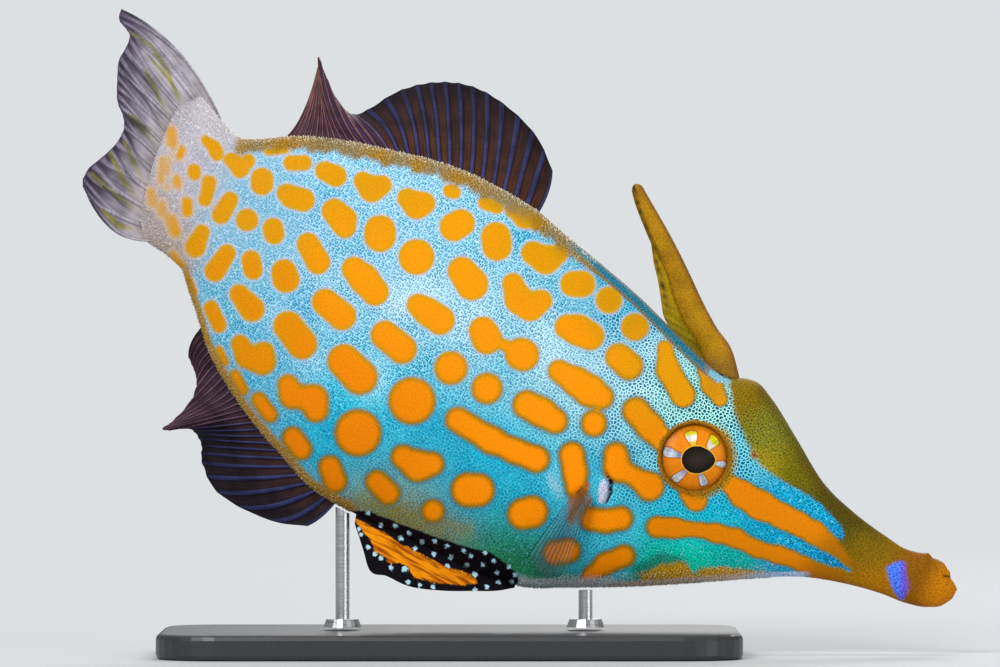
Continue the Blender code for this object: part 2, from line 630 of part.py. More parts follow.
def rounded_plate():
    """The base: a plate with round corners and a small bevel along its edges."""
    bpy.ops.mesh.primitive_cube_add(size=1.0)
    cube = bpy.context.object
    mesh = cube.data
    bpy.data.objects.remove(cube)
    for vert in mesh.vertices:
        vert.co.x = (BASE_CENTRE_X + vert.co.x * BASE_LENGTH) * MM
        vert.co.y = vert.co.y * BASE_DEPTH * MM
        vert.co.z = (vert.co.z + 0.5) * BASE_THICK * MM
    shape = bmesh.new()
    shape.from_mesh(mesh)
    upright = [e for e in shape.edges if abs(e.verts[0].co.z - e.verts[1].co.z) > 0.5 * BASE_THICK * MM]
    bmesh.ops.bevel(
        shape, geom=upright, offset=BASE_CORNER_RADIUS * MM, segments=8, profile=0.5, affect="EDGES"
    )
    shape.to_mesh(mesh)
    shape.free()
    base = place("stand_base", mesh, "plate_steel")
    bevel = base.modifiers.new("edges", "BEVEL")
    bevel.width = BASE_EDGE_BEVEL * MM
    bevel.segments = 2
    bevel.limit_method = "ANGLE"
    bevel.angle_limit = math.radians(60)
    return base


def make_rod(name, x):
    """A rod from the plate up to the belly, cut along the belly's slope, on a small round foot."""
    low = BASE_THICK + GAP
    # u of the belly's keel straight above the rod
    u = min(np.linspace(20, 80, 2401), key=lambda at: abs(to_side(at, 0.0, belly(at))[0] - x))
    ahead, behind = to_side(u - 0.5, 0.0, belly(u - 0.5)), to_side(u + 0.5, 0.0, belly(u + 0.5))
    slope = (ahead[2] - behind[2]) / (ahead[0] - behind[0])
    high = to_side(u, 0.0, belly(u))[2] - GAP
    shape = bmesh.new()
    bmesh.ops.create_cone(
        shape, cap_ends=True, segments=ROD_SIDES, radius1=ROD_RADIUS, radius2=ROD_RADIUS, depth=high - low
    )
    for vert in shape.verts:
        upper = vert.co.z > 0
        vert.co.z += (high + low) / 2 + (slope * vert.co.x if upper else 0.0)
        vert.co.x += x
    bmesh.ops.scale(shape, vec=(MM,) * 3, verts=shape.verts)
    mesh = bpy.data.meshes.new(name)
    shape.to_mesh(mesh)
    shape.free()
    rod = place(name, mesh, "rod_steel")
    foot = bmesh.new()
    bmesh.ops.create_cone(
        foot, cap_ends=True, segments=ROD_SIDES + 4, radius1=ROD_FOOT_RADIUS, radius2=ROD_FOOT_RADIUS * 0.85,
        depth=ROD_FOOT_HEIGHT,
    )
    bmesh.ops.translate(foot, vec=(x, 0, low + ROD_FOOT_HEIGHT / 2), verts=foot.verts)
    bmesh.ops.scale(foot, vec=(MM,) * 3, verts=foot.verts)
    foot_mesh = bpy.data.meshes.new(name + "_foot")
    foot.to_mesh(foot_mesh)
    foot.free()
    combine(rod, "UNION", [helper(name + "_foot", foot_mesh)])


def main():
    for obj in list(bpy.data.objects):
        bpy.data.objects.remove(obj)
    for name in ("filefish", "helpers"):
        bpy.context.scene.collection.children.link(bpy.data.collections.new(name))
    make_snout()
    make_head()
    body_length("trunk", HEAD_END + GAP / 2, TRUNK_END - GAP / 2, step=1.9, count=36, colour="spotted_skin")
    body_length("tail_stalk", TRUNK_END + GAP / 2, STALK_END, step=0.9, count=28, colour="tail_skin")
    make_eyes()
    make_spine()
    make_spine_web()
    fin_on_outline("soft_dorsal_fin", SOFT_DORSAL, back, 1, ray_places(SOFT_DORSAL_RAYS), 7, "dark_fin")
    fin_on_outline("anal_fin", ANAL, belly, -1, ray_places(ANAL_RAYS), 7, "dark_fin")
    fin_on_outline("ventral_flap", VENTRAL_FLAP, belly, -1, (), 6, "flap_skin")
    make_caudal_fin()
    make_pectoral_fins()
    rounded_plate()
    make_rod("stand_rod_front", ROD_FRONT_X)
    make_rod("stand_rod_hind", ROD_HIND_X)


main()
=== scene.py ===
"""Looks of the orange-spotted filefish: skin, spinules, fins, eyes and stand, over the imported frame.

Lengths are in millimetres until a mesh is made. Two frames are used. The row's own has x towards the snout,
y across and z up. The fish's own has u from the snout tip towards the tail and v from the body's axis up
towards the back. Markings are set out on a drawing of the right side, in tenths of a millimetre rightwards
and down from the drawing's upper left corner, and both sides wear them.
"""

import math

import bpy
import numpy as np
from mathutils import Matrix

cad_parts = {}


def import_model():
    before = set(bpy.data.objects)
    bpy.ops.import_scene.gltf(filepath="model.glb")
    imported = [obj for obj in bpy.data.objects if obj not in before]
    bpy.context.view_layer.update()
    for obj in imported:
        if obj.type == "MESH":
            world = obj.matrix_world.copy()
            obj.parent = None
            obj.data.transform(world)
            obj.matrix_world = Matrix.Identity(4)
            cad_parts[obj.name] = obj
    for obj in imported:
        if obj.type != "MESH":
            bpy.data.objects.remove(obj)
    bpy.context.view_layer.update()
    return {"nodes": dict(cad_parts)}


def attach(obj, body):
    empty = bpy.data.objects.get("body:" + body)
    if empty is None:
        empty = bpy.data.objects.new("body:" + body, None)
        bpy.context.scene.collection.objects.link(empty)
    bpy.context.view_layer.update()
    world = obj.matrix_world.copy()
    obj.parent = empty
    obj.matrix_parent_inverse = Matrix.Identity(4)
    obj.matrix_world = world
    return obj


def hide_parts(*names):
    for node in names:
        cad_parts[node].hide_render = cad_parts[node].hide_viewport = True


MM = 0.001
RIGHT, LEFT = -1, 1  # the sign of y on each side

# The camera looks along +Y at the fish's right side, from far off.
CAMERA_X, CAMERA_Z, CAMERA_FAR = -2.0, 32.15, 800.0
VIEW_WIDTH, SENSOR_WIDTH = 100.0, 36.0
DRAWING_LEFT, DRAWING_TOP, DRAWING_STEP = -52.0, 65.5, 0.1

# The body's axis dips head down, and the snout tip is here.
PITCH = math.radians(27.5)
SNOUT_TIP_X, SNOUT_TIP_Z = 43.7, 6.6
STALK_END = 88.0

# The back and the belly as seen from the side, (u, v), half the width at each u, how high up the widest place
# is as a share of the depth, and how keeled the section is, with 1 for an ellipse.
BACK_LINE = (
    (0.0, 0.0), (0.72, 0.5), (1.2, 0.8), (1.4, 1.15), (1.8, 1.35), (2.35, 1.68), (2.95, 1.73), (3.8, 1.7),
    (4.05, 1.88), (4.65, 1.62), (6.4, 1.2), (8.7, 1.4), (13.0, 2.1), (16.4, 3.1), (21.3, 6.0), (25.4, 8.4),
    (27.2, 9.1), (28.5, 8.9), (30.0, 8.2), (32.1, 8.4), (36.1, 9.5), (41.5, 11.2), (46.6, 12.4),
    (51.7, 13.5), (54.2, 14.1), (57.8, 14.4), (62.3, 14.4), (66.5, 13.8), (70.5, 12.8), (75.4, 11.4),
    (80.0, 9.4), (83.0, 7.5), (84.3, 6.9), (85.4, 7.1), (87.7, 8.0), (89.4, 8.7),
)
BELLY_LINE = (
    (0.0, -1.1), (0.5, -2.0), (1.7, -2.9), (3.9, -3.6), (6.5, -3.9), (10.6, -4.8), (14.4, -6.1), (17.9, -8.0),
    (21.3, -10.1), (28.2, -14.3), (35.2, -18.1), (38.3, -19.7), (40.8, -20.3), (48.5, -20.7), (57.3, -21.1),
    (59.2, -21.1), (62.0, -20.8), (66.1, -19.3), (70.4, -17.6), (74.3, -15.5), (77.6, -13.2), (79.9, -10.9),
    (82.3, -8.6), (83.4, -7.5), (84.7, -7.0), (87.9, -6.6), (89.4, -6.5),
)
HALF_WIDTH = (
    (0.0, 0.9), (0.6, 1.5), (2.0, 2.0), (4.0, 2.1), (7.0, 1.8), (12.0, 2.2), (18.0, 3.3), (24.0, 4.5),
    (29.0, 5.3), (36.0, 6.1), (43.0, 6.4), (52.0, 6.1), (62.0, 5.1), (72.0, 3.8), (80.0, 2.6), (89.4, 1.2),
)
WAIST = ((0.0, 0.5), (12.0, 0.5), (28.0, 0.56), (45.0, 0.52), (89.4, 0.5))
KEELING = ((0.0, 0.85), (12.0, 0.95), (30.0, 1.0), (45.0, 1.15), (75.0, 1.15), (89.4, 0.9))
KEEL_HALF_WIDTH = 0.4

# Rings of the skin: each stretch of u and the step along it. The head and flank are finest.
SKIN_STRETCHES = ((0.03, 3.0, 0.12), (3.0, 22.0, 0.3), (22.0, 60.0, 0.25), (60.0, 88.0, 0.33))
SKIN_AROUND = 288
SIDES_APART = 150.0  # laid flat, the left side lies so far along, so that its grains aren't the right side's

# The eye on the drawing, its sizes, its pupil, and the pale bars in its iris: each a wedge from the pupil out
# to the last distance.
EYE_AT = (694.5, 457.5)
IRIS_RADIUS, IRIS_BULGE, EYE_SUNK = 3.3, 0.85, 0.28
RING_RADIUS, RING_WIDTH, RING_HEIGHT = 3.54, 0.24, 0.27
SOCKET_DEPTH = 1.6
PUPIL = ((694.6, 459.8, 12.9), (700, 459.8, 12.0), (706, 460, 7.8), (710.5, 460, 3.2), (713, 460, 1))
SPOKES = (
    ((693.3, 446, 2.8), (690.3, 430, 8.6), 27), ((707.5, 449.5, 2.2), (716.5, 438, 8.0), 30),
    ((680.5, 455.8, 2.6), (662, 450.5, 6.8), 32), ((714.5, 463, 2.0), (728, 465.5, 5.4), 33),
    ((685, 471.5, 2.6), (671.5, 482.5, 6.2), 31.5), ((700.3, 473.8, 2.4), (705.8, 487.5, 6.2), 30.5),
)
YELLOW_SPOKES = 2  # the first ones, over the pupil

# Fins. Each station is (place of the root, middle, tip), the middle and tip as x, y, z.
SOFT_DORSAL = (
    (54.5, (2.85, 0.2, 46.2), (3.25, 0.5, 48.5)),
    (56.6, (1.05, 0.5, 49.0), (1.85, 1.2, 51.6)),
    (60.3, (-2.75, 1.0, 51.6), (-2.65, 2.4, 55.9)),
    (64.5, (-7.35, 1.3, 53.2), (-7.75, 3.0, 57.4)),
    (67.7, (-10.95, 1.3, 53.2), (-12.15, 3.0, 56.5)),
    (70.4, (-14.55, 1.0, 52.4), (-16.75, 2.4, 54.1)),
    (72.3, (-16.75, 0.0, 52.9), (-18.5, 0.5, 55.8)),
    (73.9, (-18.65, -0.9, 54.3), (-19.85, -1.6, 59.0)),
    (77.2, (-19.85, -0.4, 55.0), (-19.95, 0.0, 59.3)),
    (80.5, (-21.55, 0.5, 54.3), (-20.2, 1.5, 58.8)),
)
SOFT_DORSAL_RAYS = 29
ANAL = (
    (59.0, (-19.75, 0.2, 13.9), (-21.3, 0.4, 12.9)),
    (59.9, (-21.6, 0.6, 13.9), (-24.2, 1.2, 13.2)),
    (60.9, (-23.8, 1.0, 14.7), (-27.4, 2.0, 14.4)),
    (62.2, (-26.0, 1.2, 16.3), (-30.3, 2.7, 16.2)),
    (64.0, (-27.4, 1.2, 18.6), (-31.8, 2.8, 18.9)),
    (66.4, (-28.3, 1.0, 20.9), (-32.0, 2.4, 21.2)),
    (68.8, (-29.2, 0.2, 22.5), (-33.2, 0.6, 22.7)),
    (70.9, (-30.35, -0.6, 23.7), (-35.4, -1.3, 22.5)),
    (72.6, (-31.15, -0.7, 24.3), (-35.65, -1.0, 22.7)),
    (74.3, (-31.5, -0.2, 25.4), (-34.9, 0.2, 23.2)),
    (76.5, (-31.9, 0.5, 28.2), (-32.2, 1.2, 26.3)),
    (79.0, (-32.9, 0.3, 31.2), (-33.0, 0.7, 29.6)),
)
ANAL_RAYS = 27
RAY_SPREAD = 1.45  # rays stand closer towards the tail: the first gap is this much of the mean one
CAUDAL = (
    (8.0, (-34.25, 0.0, 60.5), (-39.9, 0.0, 64.6)),
    (7.3, (-34.9, 0.0, 60.0), (-40.25, 0.0, 63.8)),
    (6.2, (-36.25, 0.0, 58.9), (-39.05, 0.0, 62.2)),
    (4.0, (-37.65, 0.0, 56.3), (-40.15, 0.0, 59.2)),
    (1.8, (-37.95, 0.0, 53.7), (-40.25, 0.0, 55.8)),
    (-0.3, (-38.15, 0.0, 51.1), (-39.55, 0.0, 52.8)),
    (-2.2, (-39.15, 0.0, 48.4), (-41.15, 0.0, 50.3)),
    (-3.9, (-40.35, 0.0, 46.1), (-43.25, 0.0, 48.5)),
    (-5.2, (-40.65, 0.0, 43.9), (-43.75, 0.0, 47.1)),
    (-6.3, (-40.25, 0.0, 42.2), (-42.85, 0.0, 45.3)),
)
CAUDAL_RAYS = 12
CAUDAL_PLEATS, PLEAT_DEPTH = 3.5, 1.0
VENTRAL_FLAP = (
    (39.4, (-0.5, 0.0, 6.9), (-0.5, 0.0, 6.75)),
    (41.2, (-2.15, 0.0, 7.0), (-2.1, 0.0, 6.45)),
    (44.1, (-4.85, 0.0, 7.5), (-4.75, 0.0, 6.4)),
    (47.5, (-8.0, 0.0, 8.2), (-7.95, 0.0, 6.45)),
    (50.7, (-11.05, 0.0, 9.1), (-11.15, 0.0, 6.9)),
    (53.4, (-13.4, 0.0, 10.2), (-13.35, 0.0, 7.9)),
    (55.3, (-15.15, 0.0, 11.0), (-15.15, 0.0, 8.7)),
    (56.3, (-15.95, 0.0, 12.2), (-15.75, 0.0, 10.8)),
    (56.9, (-16.5, 0.0, 13.4), (-16.35, 0.0, 12.8)),
)
# Root, middle and tip as x and z. They stand out from the flank by these three distances.
PECTORAL = (
    ((6.25, 16.9), (3.65, 14.1), (0.65, 9.8)),
    ((6.45, 16.5), (4.25, 13.4), (1.65, 8.4)),
    ((6.65, 16.1), (5.05, 12.8), (3.05, 7.8)),
    ((6.85, 15.7), (5.85, 12.4), (4.55, 8.3)),
)
PECTORAL_STANDS_OUT = (0.25, 1.15, 1.5)
PECTORAL_RAYS = 11

# The erect spine: its root along the back, front and hind edges as x and z, and half its thickness.
SPINE_ROOT_FRONT_U, SPINE_ROOT_HIND_U = 28.7, 32.6
SPINE_FRONT = (
    (21.15, 30.6), (19.65, 32.8), (18.25, 35.4), (16.85, 38.4), (15.35, 41.4), (13.95, 43.9), (12.85, 45.8),
    (12.0, 47.3),
)
SPINE_HIND = (
    (17.35, 31.5), (16.15, 33.3), (15.15, 35.7), (14.4, 38.3), (13.05, 41.0), (12.05, 43.4), (11.4, 45.2),
    (11.0, 46.9),
)
SPINE_HALF_THICK = (1.25, 1.1, 1.0, 0.92, 0.82, 0.74, 0.65, 0.5, 0.3)
SPINE_BARBS = 22
WEB_EDGE = (
    (0.7, 12.9, 42.4), (0.62, 13.15, 40.8), (0.55, 13.35, 39.3), (0.47, 13.75, 37.6), (0.34, 14.1, 35.5),
    (0.2, 14.4, 33.8), (0.09, 15.1, 32.5), (0.03, 15.9, 31.2),
)

# Orange markings: chains of (across, down, radius) on the drawing.
TAIL_SPOTS = (
    ((171, 131, 6), (172, 143, 6)), ((182, 150, 5), (179, 156, 5)),
    ((205, 140, 5), (214, 147, 6.5), (217, 154, 7.5)), ((170, 158, 3), (166, 172, 3)),
    ((163, 160, 4), (161, 180, 4)), ((194, 170, 7), (194, 174, 7)), ((177, 179, 5), (177, 185, 5)),
    ((210, 182, 7), (205, 200, 7)), ((166, 187, 3),), ((151, 192, 5), (153, 203, 5)),
    ((162, 205, 5), (162, 213, 5)), ((187, 202, 6), (187, 212, 6)), ((171, 220, 6.5), (175, 232, 6.5)),
    ((173, 255, 5), (180, 266, 5)),
)
FLANK_SPOTS = (
    ((232, 160, 8), (240, 170, 7.5), (248, 161, 7.5)), ((262, 179, 11.5), (262, 184, 11.5)),
    ((268, 152, 4), (285, 150, 4)), ((291, 163, 8), (304, 163, 8)), ((230, 200, 8.5), (221, 215, 9.5)),
    ((247, 220, 11.5),), ((273, 228, 10.5), (274, 234, 10.5)),
    ((286, 193, 9.5), (292, 197, 10.5), (303, 200, 12)), ((325, 171, 10), (336, 176, 11)),
    ((202, 232, 8), (195, 247, 11)), ((227, 253, 9), (215, 271, 11)), ((251, 260, 10), (253, 270, 10)),
    ((284, 272, 13), (286, 279, 14)), ((308, 244, 11.5), (318, 262, 12.5)), ((188, 280, 5), (193, 292, 5)),
    ((211, 308, 8), (219, 325, 8)), ((200, 322, 2.5), (207, 342, 2.5)), ((219, 350, 4.5), (225, 362, 4.5)),
    ((235, 375, 6), (243, 390, 6)), ((259, 400, 8.5), (270, 415, 8.5)), ((239, 294, 10), (252, 309, 13)),
    ((240, 344, 9.5), (247, 357, 11), (262, 361, 13), (264, 352, 10.5)), ((288, 326, 15), (302, 344, 15.5)),
    ((288, 385, 11), (292, 396, 12), (314, 399, 13.5), (316, 410, 13)), ((293, 438, 12), (301, 449, 12)),
    ((330, 467, 12.5), (335, 481, 13)), ((325, 302, 13.5), (342, 316, 14.5)),
    ((334, 211, 12.5), (343, 220, 13), (345, 228, 10.5)), ((363, 181, 9.5), (372, 189, 12), (382, 185, 10)),
    ((407, 198, 10), (417, 205, 13), (425, 203, 10.5)), ((450, 191, 7), (454, 192, 7)),
    ((485, 203, 7), (497, 207, 7)), ((513, 210, 8), (524, 218, 9.5), (536, 222, 8)),
    ((380, 231, 16), (380, 236, 16)), ((354, 269, 12.5), (364, 279, 14), (375, 292, 14)),
    ((416.5, 257, 18),), ((454, 227, 14.5), (461, 223, 14)), ((496, 237, 15), (497, 246, 15)),
    ((462, 271, 14.5), (472, 284, 16.5)), ((533, 253, 12), (546, 260, 13), (558, 254, 10)),
    ((573, 284, 13), (582, 284, 13.5)), ((609, 300, 13.5),), ((635, 327, 14),),
    ((513, 284, 11), (519, 300, 13), (530, 307, 13), (541, 301, 11.5)),
    ((418, 305, 11.5), (428, 312, 13), (440, 320, 15)),
    ((567, 327, 12.5), (578, 330, 14.5), (590, 336, 14.5)), ((385, 335, 14.5), (402, 349, 15)),
    ((344, 361, 17), (360, 377, 18)), ((412, 401, 24),), ((358, 433, 24),),
    ((483, 331, 14.5), (487, 339, 15.5)), ((497, 342, 6), (508, 347, 6.5)),
    ((521, 354, 16.5), (523, 355, 16.5)), ((451, 368, 17),), ((487, 388.5, 16),),
    ((559, 371, 11.5), (577, 382, 14), (590, 391, 15.5), (602, 397, 12.5)),
    ((527, 405, 15), (541, 412, 14.5), (555, 421, 13.5)), ((594, 423, 13.5), (594, 424, 13.5)),
    ((600, 404, 4), (597, 410, 4)), ((619, 357, 14), (629, 366, 14.5)),
    ((458, 420, 13.5), (491, 440, 13.5), (515, 451, 12.5), (536, 459, 14.5)),
    ((403, 457, 13), (418, 466, 15.5), (432, 464, 13)), ((377, 482, 12.5), (388, 493, 13)),
    ((468, 490, 18), (478, 490, 17.5)), ((433, 511, 12.5),), ((523, 514, 16.5), (532, 512, 17)),
    ((572, 455, 14), (575, 472, 12.5), (576, 488, 11.5)),
    ((591.5, 519, 13), (606, 521, 11.8), (620.5, 518.5, 13.2)), ((555, 553, 13.3), (568, 550.5, 13.3)),
    ((624, 556, 12), (605, 564, 11), (592, 574, 8.5), (582, 583, 6)),
)
HEAD_SPOTS = (
    ((665, 348, 8), (668, 370, 11.5), (683, 395, 13)), ((636, 411, 14.5), (650, 427, 13.5), (662, 440, 12)),
    ((616, 455, 13.5), (617, 468, 13.5), (634, 476.5, 10), (649, 486, 15.8)),
    ((699, 354, 5), (706, 371, 8), (712, 385, 10.5), (720, 399, 8)), ((690, 492, 11.5), (696, 500, 12)),
    ((657, 527, 11.5), (674, 528, 10), (700, 530, 7.5), (716, 533, 9.5), (736, 538, 9.5), (757, 549, 8.5),
     (779, 555, 9), (791, 558.5, 8), (804, 565, 8.5), (820, 573, 9), (838, 579, 10), (860, 587, 10)),
    ((721, 478, 6), (730, 484, 9), (742, 494, 13), (760, 505, 14.3), (784, 517, 12), (798, 523.5, 11.4),
     (815, 533, 11.2), (826, 541.5, 9), (836, 547.5, 7.8), (850, 557, 9), (868, 566, 14)),
)
# Blue stripes that run on between the orange ones into the brown of the snout.
SNOUT_STRIPES = (
    ((748, 470, 9), (772, 486, 8), (794, 498, 7.8), (815, 510, 6.8), (829, 523, 6), (838.5, 533, 4.6)),
    ((770, 534, 7.5), (798, 545.5, 7.5), (812, 553, 7.2), (826, 560, 6.6), (836, 564, 5.6), (848, 569, 3.2)),
)

# Which entry of a zone is its lighter colour, for the network, and which its darker one, for the dots.
LIGHTER, DARKER = 4, 5
# Ground colours of the skin: place and reach on the drawing, colour of the network and of the dots in it.
GROUNDS = (
    ("tail stalk", 172, 175, 44, "#B0AEBA", "#9C98A4"),
    ("top of the stalk", 214, 118, 22, "#C0BAC0", "#A49EA6"),
    ("behind the top", 186, 106, 16, "#A8A2AA", "#8E8892"),
    ("end of the stalk", 150, 196, 20, "#988880", "#7E7068"),
    ("foot of the stalk", 163, 240, 24, "#A6968C", "#8A7A70"),
    ("end of the flank", 258, 215, 42, "#86BCD4", "#5098BC"),
    ("upper flank", 395, 235, 85, "#A2D4E8", "#1A84B0"),
    ("below the soft fin", 510, 225, 50, "#8AD2E6", "#046C92"),
    ("shoulder", 605, 305, 60, "#6AC2DC", "#025C80"),
    ("middle of the flank", 470, 330, 84, "#9CD6E6", "#00749A"),
    ("behind the head", 600, 405, 60, "#B0ECF6", "#005880"),
    ("above the eye", 690, 400, 46, "#B0F0E2", "#003E4C"),
    ("before the eye", 752, 450, 26, "#74DEF0", "#005074"),
    ("low flank", 390, 425, 66, "#10D0EC", "#007CA4"),
    ("under the flank", 480, 470, 56, "#06D6F2", "#0084AA"),
    ("over the pectoral fin", 575, 490, 50, "#54E2F4", "#0086AC"),
    ("over the anal fin", 245, 370, 58, "#6CBCD6", "#107CA8"),
    ("olive shade over the flap", 402, 526, 54, "#B09A14", "#665E08"),
    ("deep green before the flap", 505, 556, 40, "#309A4C", "#0C5430"),
    ("green throat", 684, 556, 28, "#04E8BE", "#009478"),
    ("blue green throat", 735, 560, 20, "#04CCBC", "#00807C"),
    ("blue throat", 785, 568, 18, "#20BCEC", "#0078A8"),
    ("cheek", 690, 512, 34, "#10D0EC", "#006890"),
    ("stripes of the snout", 790, 515, 40, "#08B4DE", "#00527A"),
    ("ends of the stripes", 840, 548, 20, "#008CC8", "#004878"),
)
# Paler and deeper patches of the ground: place and reach on the drawing, and how much, with deeper negative.
PATCHES = (
    (422, 291, 16, 0.5), (470, 318, 22, 0.4), (555, 360, 18, 0.5), (590, 402, 14, 0.4), (370, 380, 14, 0.5),
    (396, 305, 12, 0.5), (278, 315, 12, 0.3), (312, 362, 12, 0.3), (553, 482, 12, 0.5), (655, 350, 12, 0.4),
    (640, 395, 12, 0.5), (545, 330, 12, 0.3), (240, 372, 14, -0.6), (325, 430, 18, -0.7),
    (432, 425, 16, -0.7), (420, 386, 12, -0.6), (480, 465, 22, -0.6), (540, 492, 18, -0.5),
    (445, 362, 10, -0.5), (560, 240, 12, -0.5), (600, 276, 14, -0.6), (640, 302, 14, -0.8),
    (330, 195, 14, -0.3), (520, 235, 12, -0.5), (350, 240, 14, -0.3), (505, 366, 10, -0.4),
    (590, 470, 12, -0.6), (640, 450, 10, -0.3), (300, 300, 14, -0.3), (602, 360, 12, 0.4),
    (455, 500, 16, -0.3),
)
# Colours of the orange markings: place and reach on the drawing.
SPOT_TINTS = (
    ("back", 400, 185, 42, "#CE9000"),
    ("front of the back", 530, 245, 50, "#CE8E00"),
    ("shoulder", 616, 301, 24, "#C68A00"),
    ("flank", 430, 270, 70, "#EC9600"),
    ("middle", 460, 350, 80, "#F29000"),
    ("low flank", 380, 420, 70, "#EA8000"),
    ("under the flank", 480, 490, 60, "#FF9000"),
    ("under the head", 590, 515, 50, "#FF9000"),
    ("tail", 220, 190, 60, "#D69200"),
    ("over the anal fin", 240, 310, 50, "#DC8800"),
    ("nape", 690, 375, 40, "#D89000"),
    ("front of the nape", 714, 386, 14, "#AE7C0C"),
    ("head", 700, 500, 60, "#E68400"),
    ("snout", 780, 515, 40, "#E28200"),
    ("ends of the stripes", 838, 562, 22, "#A86600"),
)
# The forehead and the snout are brown and olive: place and reach, colour of the network and of the grains.
HEAD_TONES = (
    ("brow", 745, 385, 26, "#927202", "#604A02"),
    ("forehead", 774, 430, 24, "#9A9226", "#1E4218"),
    ("by the nostril", 767, 466, 16, "#C4A818", "#66620C"),
    ("bridge of the snout", 795, 470, 24, "#7E7006", "#4A4806"),
    ("upper snout", 838, 514, 26, "#5A5008", "#333106"),
    ("middle of the snout", 868, 552, 20, "#8A6C06", "#604A04"),
    ("lower snout", 872, 586, 20, "#B87A04", "#8C5A04"),
    ("behind the lips", 914, 572, 18, "#905A06", "#6C4204"),
    ("lips", 942, 588, 14, "#D08206", "#A46206"),
)
# Outlines on the drawing of what is painted over the ground.
FOREHEAD = (
    (727, 372), (732, 395), (735, 412), (741, 428), (750, 446), (762, 466), (777, 477), (794, 488),
    (808, 495), (819, 503), (829, 513), (837, 521), (843, 529), (844, 536), (840, 541), (846, 550),
    (853, 562), (854, 571), (848, 580), (870, 610), (980, 620), (960, 500), (860, 480), (780, 360),
)
SNOUT = (
    (838, 522), (847, 540), (848, 556), (840, 568), (830, 584), (860, 620), (980, 640), (980, 520),
    (900, 480),
)
SNOUT_PATCH = (
    (887, 568), (893, 564), (902, 561), (905, 563), (905, 571), (907, 579), (908, 586), (906, 594),
    (903, 600), (899, 598), (895, 592), (891, 584), (888, 573),
)
FLAP_BLACK = (
    (352, 511), (370, 511), (380, 516), (390, 519), (400, 524), (415, 529), (430, 535), (445, 540),
    (460, 545), (475, 549), (490, 552), (500, 559), (510, 567), (516, 573), (519, 581), (512, 590),
    (505, 610), (430, 620), (340, 600), (330, 525),
)
FLAP_ORANGE = (
    (353, 518), (362, 522), (375, 529), (390, 536), (400, 544), (412, 549), (425, 557), (438, 563),
    (450, 568), (462, 572), (475, 578), (477, 583), (465, 585), (450, 584), (435, 583), (425, 579),
    (414, 577), (410, 568), (400, 562), (390, 564), (385, 558), (375, 551), (371, 540), (362, 530),
)
PEARLS = (
    (368, 513), (381, 525), (395, 526), (409, 533), (401, 538), (422, 542), (435, 541), (447, 546),
    (415, 549), (434, 554), (451, 557), (464, 551), (471, 556), (485, 553), (467, 565), (483, 565),
    (494, 561), (448, 566), (475, 575), (497, 573), (509, 567), (515, 575), (512, 582), (498, 582),
    (487, 587), (475, 590), (391, 568), (408, 582), (420, 585), (433, 587), (381, 558), (375, 554),
    (368, 547), (361, 535), (359, 529),
)
CORNER_FILL = 6  # how far round a bend in a spot its inner corner is filled
PEARL_RADIUS, BIG_PEARL = 2.6, (405, 569, 3.6)
GILL_SLIT = ((606, 473, 0.6), (611, 482, 1.7), (610.5, 493, 1.4), (606, 505, 0.6))
GILL_RIM = ((604, 482, 2.5), (603, 490, 4.2), (602, 500, 3.0))
NOSTRIL = (754, 455)
MOUTH = ((962, 577, 1.4), (944, 576.5, 0.9))
LIP_FOLDS = (((928, 557, 0.8), (931, 574, 0.7)), ((935, 564, 0.6), (938, 572, 0.6)))
# Green shade and golden speckles of the throat, olive over the flap's root, a pale streak below the spine's
# foot, the pale patch behind the pectoral fin, and that fin's brown root.
THROAT_SHADE = ((640, 572, 9), (662, 566, 12), (676, 566, 10))
THROAT_GILT = (
    ((646, 578, 6), (664, 574, 9), (680, 573, 10), (690, 578, 6)),
    ((692, 580, 5), (706, 576, 8), (722, 574, 7.5), (745, 574, 4.5), (762, 574, 3)),
)
FLAP_ROOT = ((362, 498, 4), (395, 513, 8), (436, 524, 8), (466, 529, 6))
BROW_STREAK = ((711, 373, 3), (719, 378, 4), (728, 381, 2.5))
BEHIND_PECTORAL = ((549, 476, 3), (555, 486, 6), (560, 496, 4))
PECTORAL_ROOT = ((586, 486, 5), (576, 500, 8), (571, 520, 5))
# How far the skin of the stalk runs out over the tail fin, by v.
SKIN_OVER_FIN = ((-7.0, 0.2), (-4.5, 1.6), (0.0, 2.8), (4.0, 3.3), (6.5, 3.2), (8.0, 2.0), (8.8, 1.5))

# Olive streaks along the tail fin.
CAUDAL_OLIVE = (
    ((178, 99, 1.5), (168, 72, 2), (150, 46, 2), (127, 31, 1.5)),
    ((182, 102, 1.5), (168, 78, 2), (152, 60, 1.5)), ((168, 118, 1.5), (155, 88, 2), (145, 70, 1.5)),
    ((163, 152, 2), (146, 132, 3.5), (130, 116, 2.5)), ((146, 186, 1.5), (132, 160, 2.5), (124, 142, 2)),
    ((142, 204, 1.5), (124, 182, 2.5), (108, 150, 2)), ((140, 212, 1.5), (118, 196, 2.5), (92, 174, 2)),
    ((138, 230, 2), (118, 226, 3), (102, 210, 2)),
)
# Painted shade down the furrows between the tail fin's rays.
CAUDAL_FURROW_SHADE = (
    ((158, 96, 1), (140, 72, 1.8), (128, 58, 1.5)), ((160, 124, 1), (146, 100, 1.8), (126, 76, 1.5)),
    ((158, 150, 1.5), (142, 128, 3), (127, 118, 3.5)), ((150, 178, 1), (134, 150, 1.8), (126, 132, 1.5)),
    ((146, 196, 1), (126, 172, 1.8), (112, 148, 1.5)), ((140, 216, 1), (122, 204, 1.6), (104, 186, 1.4)),
)

# Spinules: name, least distance apart, how many are tried, radius, length, and how pale they are. The
# paleness is partly their own colour and partly painted glints.
SPINULES = (
    ("edge_spinules", 0.25, 30000, 0.07, 0.15, 0.3),
    ("stalk_spinules", 0.27, 30000, 0.06, 0.11, 0.7),
    ("flank_spinules", 0.4, 130000, 0.045, 0.08, 0.16),
)

